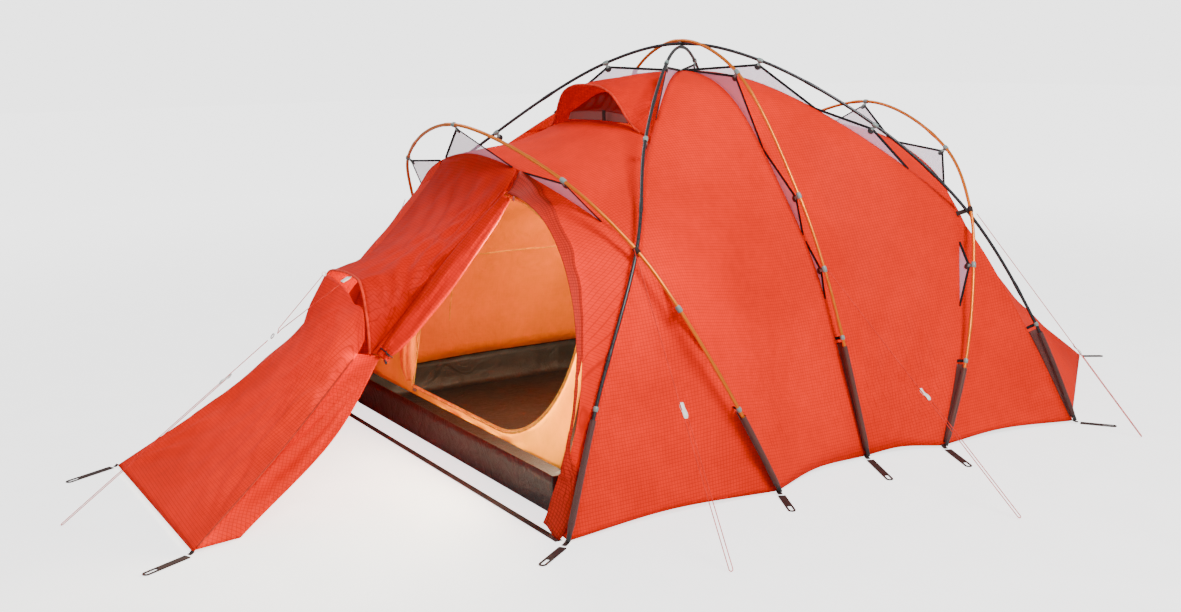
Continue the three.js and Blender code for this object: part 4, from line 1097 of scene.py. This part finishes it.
seams = []
for cut_at in ([(round(f * NI), slice(2, -1)) for f in (0.155, 0.5, 0.845)]
               + [(slice(3, -3), round(f * NJ)) for f in (0.165, 0.5, 0.835)]):
    seams.append(tube(inner_cloth_grid[cut_at] - inner_n[cut_at] * 0.0022, 0.003, 8,
        flat=(inner_n[cut_at], 0.25)))
place("inner_canopy_seams", seams, M_SEAM_PALE)


FRONT_WALL_Y, REAR_WALL_Y = -0.951, 1.030


def inner_plane(x, z, out=0.0):
    """A point on the inner tent's leaning front wall, or that far in front of it."""
    return at(x, FRONT_WALL_Y + INNER_LEAN * z - out, z)


DOOR_X, DOOR_Z, DOOR_R, DOOR_LEFT, DOOR_SILL, DOOR_TOP = 0.330, 0.548, 0.394, -0.300, 0.154, 0.850


def bezier(a, b, c, n):
    t = steps(n)[:, None]
    a, b, c = (np.array(p, float) for p in (a, b, c))
    return (1 - t) ** 2 * a + 2 * t * (1 - t) * b + t ** 2 * c


def straight(a, b, n):
    return line(a, b)(steps(n))


ang = np.linspace(0, -math.pi / 2, 40)[:, None]
door_edge = np.concatenate([
    straight((DOOR_LEFT, DOOR_SILL), (DOOR_LEFT, 0.640), 24),
    bezier((DOOR_LEFT, 0.640), (DOOR_LEFT + 0.04, DOOR_TOP - 0.05), (-0.020, DOOR_TOP - 0.008), 24)[1:],
    straight((-0.020, DOOR_TOP - 0.008), (0.230, DOOR_TOP - 0.004), 12)[1:],
    bezier((0.230, DOOR_TOP - 0.004), (0.600, DOOR_TOP - 0.038), (DOOR_X + DOOR_R, DOOR_Z), 28)[1:],
    np.hstack([DOOR_X + DOOR_R * np.cos(ang), DOOR_Z + DOOR_R * np.sin(ang)])[1:],
    straight((DOOR_X, DOOR_Z - DOOR_R), (DOOR_LEFT, DOOR_SILL), 24)[1:]])
WALL_GAP = 0.004
_, _, left_share, half = INNER_SECTIONS[0]
arch_xz = section_arch(half, left_share, WALL_GAP)(steps(180))[:, (0, 2)]
outline = np.concatenate([arch_xz, straight(arch_xz[-1], arch_xz[0], 60)[1:]])


def ray_cut(loop, centre, angles):
    """How far a ray from the centre runs before it crosses the closed loop, per angle."""
    rel = loop - centre
    th = np.unwrap(np.arctan2(rel[:, 1], rel[:, 0]))
    rad = np.linalg.norm(rel, axis=1)
    if th[-1] < th[0]:
        th, rad = th[::-1], rad[::-1]
    a = np.mod(angles - th[0], 2 * np.pi) + th[0]
    return np.interp(a, th, rad)


wall_c = np.array((0.20, 0.47))
corner = np.array((DOOR_LEFT, DOOR_SILL)) - wall_c
angles = np.sort(np.concatenate([np.linspace(-np.pi, np.pi, 191), [math.atan2(corner[1], corner[0]),
                 math.atan2(outline[0][1] - wall_c[1], outline[0][0] - wall_c[0]),
                 math.atan2(arch_xz[-1][1] - wall_c[1], arch_xz[-1][0] - wall_c[0])]]))
hole_r, out_r = ray_cut(door_edge, wall_c, angles), ray_cut(outline, wall_c, angles)
hole_r = np.minimum(hole_r, out_r - WALL_GAP)
rows = steps(9)
wall = np.zeros((len(angles), len(rows), 3))
for j, w in enumerate(rows):
    r = hole_r + (out_r - hole_r) * w
    x, z = wall_c[0] + r * np.cos(angles), wall_c[1] + r * np.sin(angles)
    depth = 0.004 * noise2(x, z, 17, 0.22) * math.sin(math.pi * w) if 0 < w < 1 else 0 * x
    wall[:, j] = np.stack([x, FRONT_WALL_Y + INNER_LEAN * z - depth, z], -1) + OFF
# the pale copy of the inner cloth: painted sunlight
cloth("inner_front_wall_cloth", wall, M_INNER_SUNLIT, ["inner_front_wall"], outward=(0, -1, 0),
      uv=np.stack([(wall[..., 0]).ravel(), (wall[..., 2]).ravel()], -1))

edge_pts = np.array([inner_plane(x, z, 0.004) for x, z in door_edge])
place("inner_door_zip_tape", [tube(edge_pts, 0.0065, 8, flat=((0, -1, 0.18), 0.22), caps=False)], M_YELLOW)
place("inner_door_zip_teeth", [tube(edge_pts + (0, -0.002, 0), 0.0018, 8, caps=False)], M_YELLOW)

_, _, left_share, half = INNER_SECTIONS[-1]
rear_arch = section_arch(half, left_share, WALL_GAP)


def rear_point(p):
    p = np.atleast_2d(p).copy()
    p[:, 1] = REAR_WALL_Y + REAR_LEAN * p[:, 2]
    return p + OFF


def rear_edge(curve):
    return lambda t: rear_point(curve(t))


SIDE_SHARE = 0.26
rear_wall = coons(rear_edge(line(rear_arch(0)[0], rear_arch(1)[0])),
    rear_edge(span(rear_arch, SIDE_SHARE, 1 - SIDE_SHARE)), rear_edge(span(rear_arch, 0, SIDE_SHARE)),
    rear_edge(span(rear_arch, 1, 1 - SIDE_SHARE)), 44, 30)
# the pale copy of the inner cloth: painted light
cloth("inner_rear_wall_cloth", wrinkle(rear_wall, 0.003, 19, 0.25), M_INNER_SUNLIT, ["inner_rear_wall"],
      outward=(0, 1, 0))

# the groundsheet: a shallow tub, its walls turned up all round and caught at the corners
# how far outside the floor's edge each step of the tub's wall stands, and its height
rise = [(0.008, TUB_Z), (0.0085, 0.092), (0.0065, 0.052), (0.003, 0.018), (-0.006, 0.004), (-0.03, 0.0015)]


def tub_line(middle, half, share, count):
    """Places across the tub, with its turned-up walls at both ends, and the wall's height at each."""
    wall = [half + dx * share for dx, _ in rise]
    flat = np.linspace(middle - half + 0.06, middle + half - 0.06, count)
    heights = [z for _, z in rise]
    return ([middle - w for w in wall] + list(flat) + [middle + w for w in wall[::-1]],
            heights + [0.0] * count + heights[::-1])


xs, zx = tub_line(0, FLOOR_X, 1, 28)
ysf, zy = tub_line((FLOOR_Y0 + FLOOR_Y1) / 2, (FLOOR_Y1 - FLOOR_Y0) / 2, 0.5, 38)
tub = np.zeros((len(xs), len(ysf), 3))
for i, x in enumerate(xs):
    for j, y in enumerate(ysf):
        z = max(zx[i], zy[j])
        flat_part = z < 0.0005
        bump = 0.0035 * (1 + math.sin(9 * x + 3 * y) * math.sin(11 * y - 4 * x)) * 0.5 if flat_part else 0
        wobble = 0.004 * math.sin(17 * (x + y) + 2 * math.sin(7 * (x - y))) * (z
            / TUB_Z) ** 0.5 if z < TUB_Z else 0
        tub[i, j] = at(x - math.copysign(abs(wobble), x) * (zx[i] >= zy[j] and not flat_part), y,
            z + bump + 0.0012)
cloth("groundsheet_cloth", tub, M_FLOOR, ["groundsheet_tub"], outward=(0, 0, 1),
      uv=np.stack([(tub[..., 0] + np.sign(tub[..., 0]) * tub[..., 2]).ravel(),
                   (tub[..., 1] + np.sign(tub[..., 1]) * tub[..., 2]).ravel()], -1))

INNER_ROLL = [(-0.296, 0.790, 0.034), (-0.318, 0.600, 0.036), (-0.312, 0.420, 0.036), (-0.302, 0.280, 0.034),
              (-0.298, 0.176, 0.018)]                 # x, z and distance out from the front wall
inner_roll = Rom([inner_plane(*p) for p in INNER_ROLL])
t = steps(56)
thick = 0.027 * np.interp(t, (0, 0.1, 0.3, 0.5, 0.75, 0.88, 0.95, 1), (0.7, 0.85, 0.92, 0.98, 1.12, 1.0,
    0.72, 0.38))
rolled("inner_door_roll_cloth", inner_roll(t), thick, 3, M_INNER, ["inner_door_roll"], folds=0.17, seed=21)
tie = 0.3
place("inner_roll_ties", [torus(inner_roll(tie)[0], inner_roll(tie + 0.02)[0] - inner_roll(tie - 0.02)[0],
                                0.0262, 0.0018, 30, 8)], M_YELLOW)


# ---------------------------------------------------------------- roof vent

def vent_row(points):
    mids = [at(*p) for p in points]
    return Rom([*mids, *[p * MIRROR for p in mids[-2::-1]]])


mesh_bottom = vent_row([(0.190, -0.346, 1.046), (0.090, -0.345, 1.049), (0, -0.345, 1.050)])
mesh_top = vent_row([(0.182, -0.340, 1.072), (0.090, -0.338, 1.078), (0, -0.338, 1.080)])
wall_top = vent_row([(0.100, -0.312, 1.118), (0.060, -0.306, 1.134), (0, -0.304, 1.142)])
# the vent netting, its colour darkened as painted shade
cloth("roof_vent_netting", between(mesh_bottom, mesh_top, 30, 6), M_VENT_MESH_SHADED, ["roof_vent_mesh"],
    outward=(0, -1, 0))
back_wall = between(mesh_top, wall_top, 36, 14)
# the back wall in the dark copy of the fly cloth, its colour painted shade
cloth("roof_vent_back_wall", wrinkle(back_wall, 0.003, 43, 0.08), M_HOOD_WALL_SHADED, (), outward=(0, -1, 0))
place("roof_vent_brow_binding", [tube(vent_brow(np.linspace(0.12, 0.88, 90)), 0.0038, 8)], M_BINDING)


# ----------------------------------------------------------- netting fins, tapes, clips and ties on the poles

def frame_at(key, t):
    """Pole point, direction along it, direction to the seam, and the seam's point."""
    p = POLE[key](t)[0]
    along = unit(POLE[key](min(t + 2e-3, 1))[0] - POLE[key](max(t - 2e-3, 0))[0])
    s = SEAM[key](t)[0]
    inward = s - p
    inward = unit(inward - along * inward.dot(along))
    return p, along, inward, s


# where the clips sit along each pole, and whether a netting fin hangs from the clip
CLIPS = {
    "A": [(0.304, 0), (0.40, 1), (0.60, 1), (0.702, 1)],
    "B": [(0.296, 0), (0.40, 1), (0.60, 1), (0.698, 1)],
    "F": [(0.20, 1), (0.40, 1), (0.50, 1), (0.60, 1), (0.80, 1)],
    "M": [(0.20, 1), (0.30, 1), (0.40, 1), (0.60, 1), (0.70, 1), (0.80, 1)],
    "R": [(0.20, 1), (0.40, 1), (0.50, 1), (0.60, 1), (0.80, 1)]}
LOW = 0.096                                           # the low clip, at the top of the foot sleeve
CROSSINGS = {"F": (0.3, 0.7), "R": (0.3, 0.7)}          # where a hoop is tied to the diagonals
NAME = {"A": "diagonal_right", "B": "diagonal_left", "F": "front_hoop", "M": "middle_hoop", "R": "rear_hoop"}


FIN_REACH, TOP_FIN_REACH, APEX_GAP = 0.045, 0.056, 0.003


def fin(key, t):
    """A triangle of netting from a clip down to a stretch of seam; the top ones run on to the apex."""
    p, _, inward, _ = frame_at(key, t)
    clip_end = p + inward * 0.016
    start, stop = t - FIN_REACH, t + FIN_REACH
    if key in "ABM" and t == 0.40:
        start, stop = t - TOP_FIN_REACH, 0.5 - APEX_GAP
    if key in "ABM" and t == 0.60:
        start, stop = 0.5 + APEX_GAP, t + TOP_FIN_REACH
    base = SEAM[key](np.linspace(start, stop, 15))
    w = np.linspace(0.06, 1, 9)[None, :, None]
    return clip_end + (base[:, None] - clip_end) * w, clip_end, base


def strip(a, b, width, thick, normal):
    """A flat tape between two points, its face turned to normal."""
    return tube(line(a, b)(steps(8)), width / 2, 8, flat=(normal, thick / width))


def collar(p, along, half, radii):
    """A ring round the pole at p, thinner at its ends."""
    return tube([p + along * d for d in np.linspace(-half, half, len(radii))], np.array(radii), 16)


def netted(name, grids, material):
    """Several pieces of netting as one sheet."""
    faces, base = [], 0
    for P in grids:
        faces += [tuple(f) for f in grid_faces(*P.shape[:2], base)]
        base += P.shape[0] * P.shape[1]
    obj = add_mesh(name, np.concatenate([P.reshape(-1, 3) for P in grids]), faces,
                   np.concatenate([plane_uv(P) for P in grids]))
    area = sum(poly.area for poly in obj.data.polygons)
    solidify(obj, 0.0006, 0)
    dress(obj, material, "tent")
    length = sum(float(arc(P[:, -1])[-1]) for P in grids)
    width = max(float(np.linalg.norm(P[len(P) // 2, -1] - P[len(P) // 2, 0])) for P in grids)
    width = max(width, area / length * 1.02)


for key, label in NAME.items():
    fins, tapes, clips, tabs, ties = [], [], [], [], []
    for t, fins_here in CLIPS[key]:
        p, along, inward, _ = frame_at(key, t)
        face = unit(np.cross(along, inward))
        clips.append(collar(p, along, 0.010, (0.0068, 0.0080, 0.0083, 0.0083, 0.0083, 0.0080, 0.0068)))
        clips.append(rounded_block(p + inward * 0.0135, along, inward, face, (0.010, 0.014, 0.006), 0.0018))
        tabs.append(disc(p + inward * 0.022, face, 0.0118, 0.0042, 22))
        if fins_here:
            P, clip_end, base = fin(key, t)
            fins.append(P)
            tapes += [strip(clip_end, base[k], 0.0088, 0.0026, face) for k in (0, -1)]
    for t in CROSSINGS.get(key, ()):
        p, along, inward, s = frame_at(key, t)
        ties.append(collar(p, along, 0.010, (0.0078, 0.0086, 0.0086, 0.0086, 0.0078)))
        ties.append(strip(p + inward * 0.006, s, 0.018, 0.0016, unit(np.cross(along, inward))))
    for t in (LOW, 1 - LOW):
        p, along, inward, s = frame_at(key, t)
        clips.append(collar(p, along, 0.007, (0.0066, 0.0078, 0.0080, 0.0078, 0.0066)))
        tapes.append(strip(p + inward * 0.006, s, 0.010, 0.0014, unit(np.cross(along, inward))))
    gussets, sleeves, tips = [], [], []
    for a, b in ((0.004, LOW - 0.004), (1 - 0.004, 1 - LOW + 0.004)):
        tt = np.linspace(a, b, 22)
        edge = np.array([frame_at(key, q)[0] + frame_at(key, q)[2] * 0.0035 for q in tt])
        w = steps(6)[None, :, None]
        gussets.append(edge[:, None] + (SEAM[key](tt)[:, None] - edge[:, None]) * w)
    for a, b in ((0.006, LOW - 0.008), (0.994, 1 - LOW + 0.008)):
        sleeves.append(tube(POLE[key](np.linspace(a, b, 26)),
                            np.interp(steps(26), (0, 0.08, 1), (0.0072, 0.0094, 0.0088)), 14, caps=False))
    place(f"foot_sleeves_{label}", sleeves, M_SLEEVE)

    if fins:
        netted(f"fin_netting_{label}", fins, M_FIN)
    netted(f"foot_gusset_{label}", gussets, M_SLEEVE)
    place(f"pole_clips_{label}", clips, M_CLIP)
    place(f"clip_tabs_{label}", tabs, M_TAB)
    place(f"fin_tapes_{label}", tapes, M_TAPE)
    if ties:
        place(f"crossing_ties_{label}", ties, M_TIE)
    for a, b in ((0.0, 0.012), (1.0, 0.988)):
        tips.append(tube(POLE[key](np.linspace(a, b, 6)), np.array((0.0058, 0.0066, 0.0068, 0.0068, 0.0066,
            0.0058)), 14))
    place(f"pole_tips_{label}", tips, M_TAB)


# -------------------------------------------------------------- webbing from the hem corners to the peg loops

CORNERS = {"front_corner": foot["front_corner"], "front_hoop": foot["front"], "middle_hoop": foot["middle"],
           "rear_hoop": foot["rear"], "rear_corner": foot["rear_corner"], "tail": tail_stake, "porch": stake}
tabs = []
for corner, point in CORNERS.items():
    for side_name, flip in SIDES:
        low, high = (np.array(c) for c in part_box(f"peg_loop_{corner}_{side_name}"))
        start = point * (flip, 1, 1)
        middle = (low + high) / 2
        way = unit((middle - start) * (1, 1, 0))
        half_length = abs(way[0]) * (high[0] - low[0]) / 2 + abs(way[1]) * (high[1] - low[1]) / 2
        end = middle - way * (half_length - 0.004)
        end[2] = high[2] + 0.0022
        path = Rom([start + (0, 0, 0.004), (start + end) / 2, end])(steps(12))
        path[:, 2] = np.maximum(path[:, 2], end[2])
        tabs.append(tube(path, 0.0078, 10, flat=((0, 0, 1), 0.18)))
place("peg_loop_webbing", tabs, M_TIE)


# ---------------------------------------------------------------- carried-over CAD pieces

CAD_LOOKS = {"guyline_ring": M_ALU, "fly_zip_slider": M_ALU, "inner_zip_slider": M_ALU, "door_toggle": M_TAB,
             "roof_vent_prop": M_TIE, "front_foot_strap": M_TIE}
for name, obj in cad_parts.items():
    chosen = M_TIE if name.startswith("peg_loop") else CAD_LOOKS.get(name)
    if chosen:
        obj.data.materials.clear()
        obj.data.materials.append(chosen)


# ---------------------------------------------------------------- floor and light

def pale_floor():
    """Pale studio floor; the camera sees it run out into the white backdrop."""
    m, nt, out = new_material("pale_floor")
    coord = node(nt, "TexCoord").outputs["Object"]
    grain = node(nt, "TexNoise", Vector=coord, Scale=6.0, Detail=4.0).outputs[0]
    base = mix_colour(nt, ramp(nt, grain, 0.3, 0.7), (0.53, 0.53, 0.53), (0.57, 0.57, 0.57))
    p = node(nt, "BsdfPrincipled", Base_Color=base, Roughness=0.9, Specular_IOR_Level=0.1)
    away = node(nt, "VectorMath", _operation="LENGTH", i0=coord).outputs[1]
    lift = ramp(nt, away, 2.4, 8.0, 2.1, 2.85)
    seen = node(nt, "LightPath").outputs["Is Camera Ray"]
    glow = node(nt, "Emission", Strength=maths(nt, "MULTIPLY", lift, seen))
    both = nt.nodes.new("ShaderNodeAddShader")
    nt.links.new(p.outputs[0], both.inputs[0])
    nt.links.new(glow.outputs[0], both.inputs[1])
    nt.links.new(both.outputs[0], out.inputs[0])
    return m


FLOOR_HALF, FLOOR_LEVEL = 30, -0.0015
corners = [(x * FLOOR_HALF, y * FLOOR_HALF) for x, y in ((-1, -1), (1, -1), (1, 1), (-1, 1))]
floor_obj = add_mesh("floor", [(x, y, FLOOR_LEVEL) for x, y in corners], [(0, 1, 2, 3)], corners,
    smooth=False)
floor_obj.data.materials.append(pale_floor())


def area_light(name, where, toward, size, power, colour=(1, 1, 1)):
    light = bpy.data.lights.new(name, "AREA")
    light.shape, light.size, light.energy, light.color = "DISK", size, power, colour
    obj = bpy.data.objects.new(name, light)
    obj.location = Vector(where)
    obj.rotation_euler = (Vector(toward) - Vector(where)).to_track_quat("-Z", "Y").to_euler()
    bpy.context.scene.collection.objects.link(obj)
    return obj


CLEAN, WARM = (1.0, 0.985, 0.96), (1.0, 0.90, 0.62)


area_light("key", (4.7, 0.1, 4.9), (0, 0, 0.4), 2.6, 560, CLEAN)
area_light("fill", (-1.5, -6.5, 3.2), (0, 0, 0.5), 4.0, 85, (0.97, 0.98, 1.0))
area_light("rim", (-4.6, -1.2, 4.4), (0, 0, 0.5), 3.0, 95)
for name, where, toward, size, power in (
        ("cabin_glow", (0.25, -0.35, 0.62), (-0.4, 0.5, 0.55), 0.5, 19.0),
        ("wall_glow", (0.35, -0.55, 0.60), (0.5, -0.9, 0.3), 0.4, 52.0)):
    lamp = area_light(name, at(*where), at(*toward), size, power, WARM)
    lamp.visible_camera = False

world = bpy.data.worlds.new("studio")
world.use_nodes = True
nt = world.node_tree
nt.nodes.clear()
seen = node(nt, "LightPath").outputs["Is Camera Ray"]
LIGHTING, BACKDROP = 0.45, 3.0                        # the world's strength for the light and for the camera
strength = ramp(nt, seen, 0.0, 1.0, LIGHTING, BACKDROP)
sky = node(nt, "Background", Color=(1.0, 1.0, 1.0, 1), Strength=strength)
wo = nt.nodes.new("ShaderNodeOutputWorld")
nt.links.new(sky.outputs[0], wo.inputs[0])
bpy.context.scene.world = world
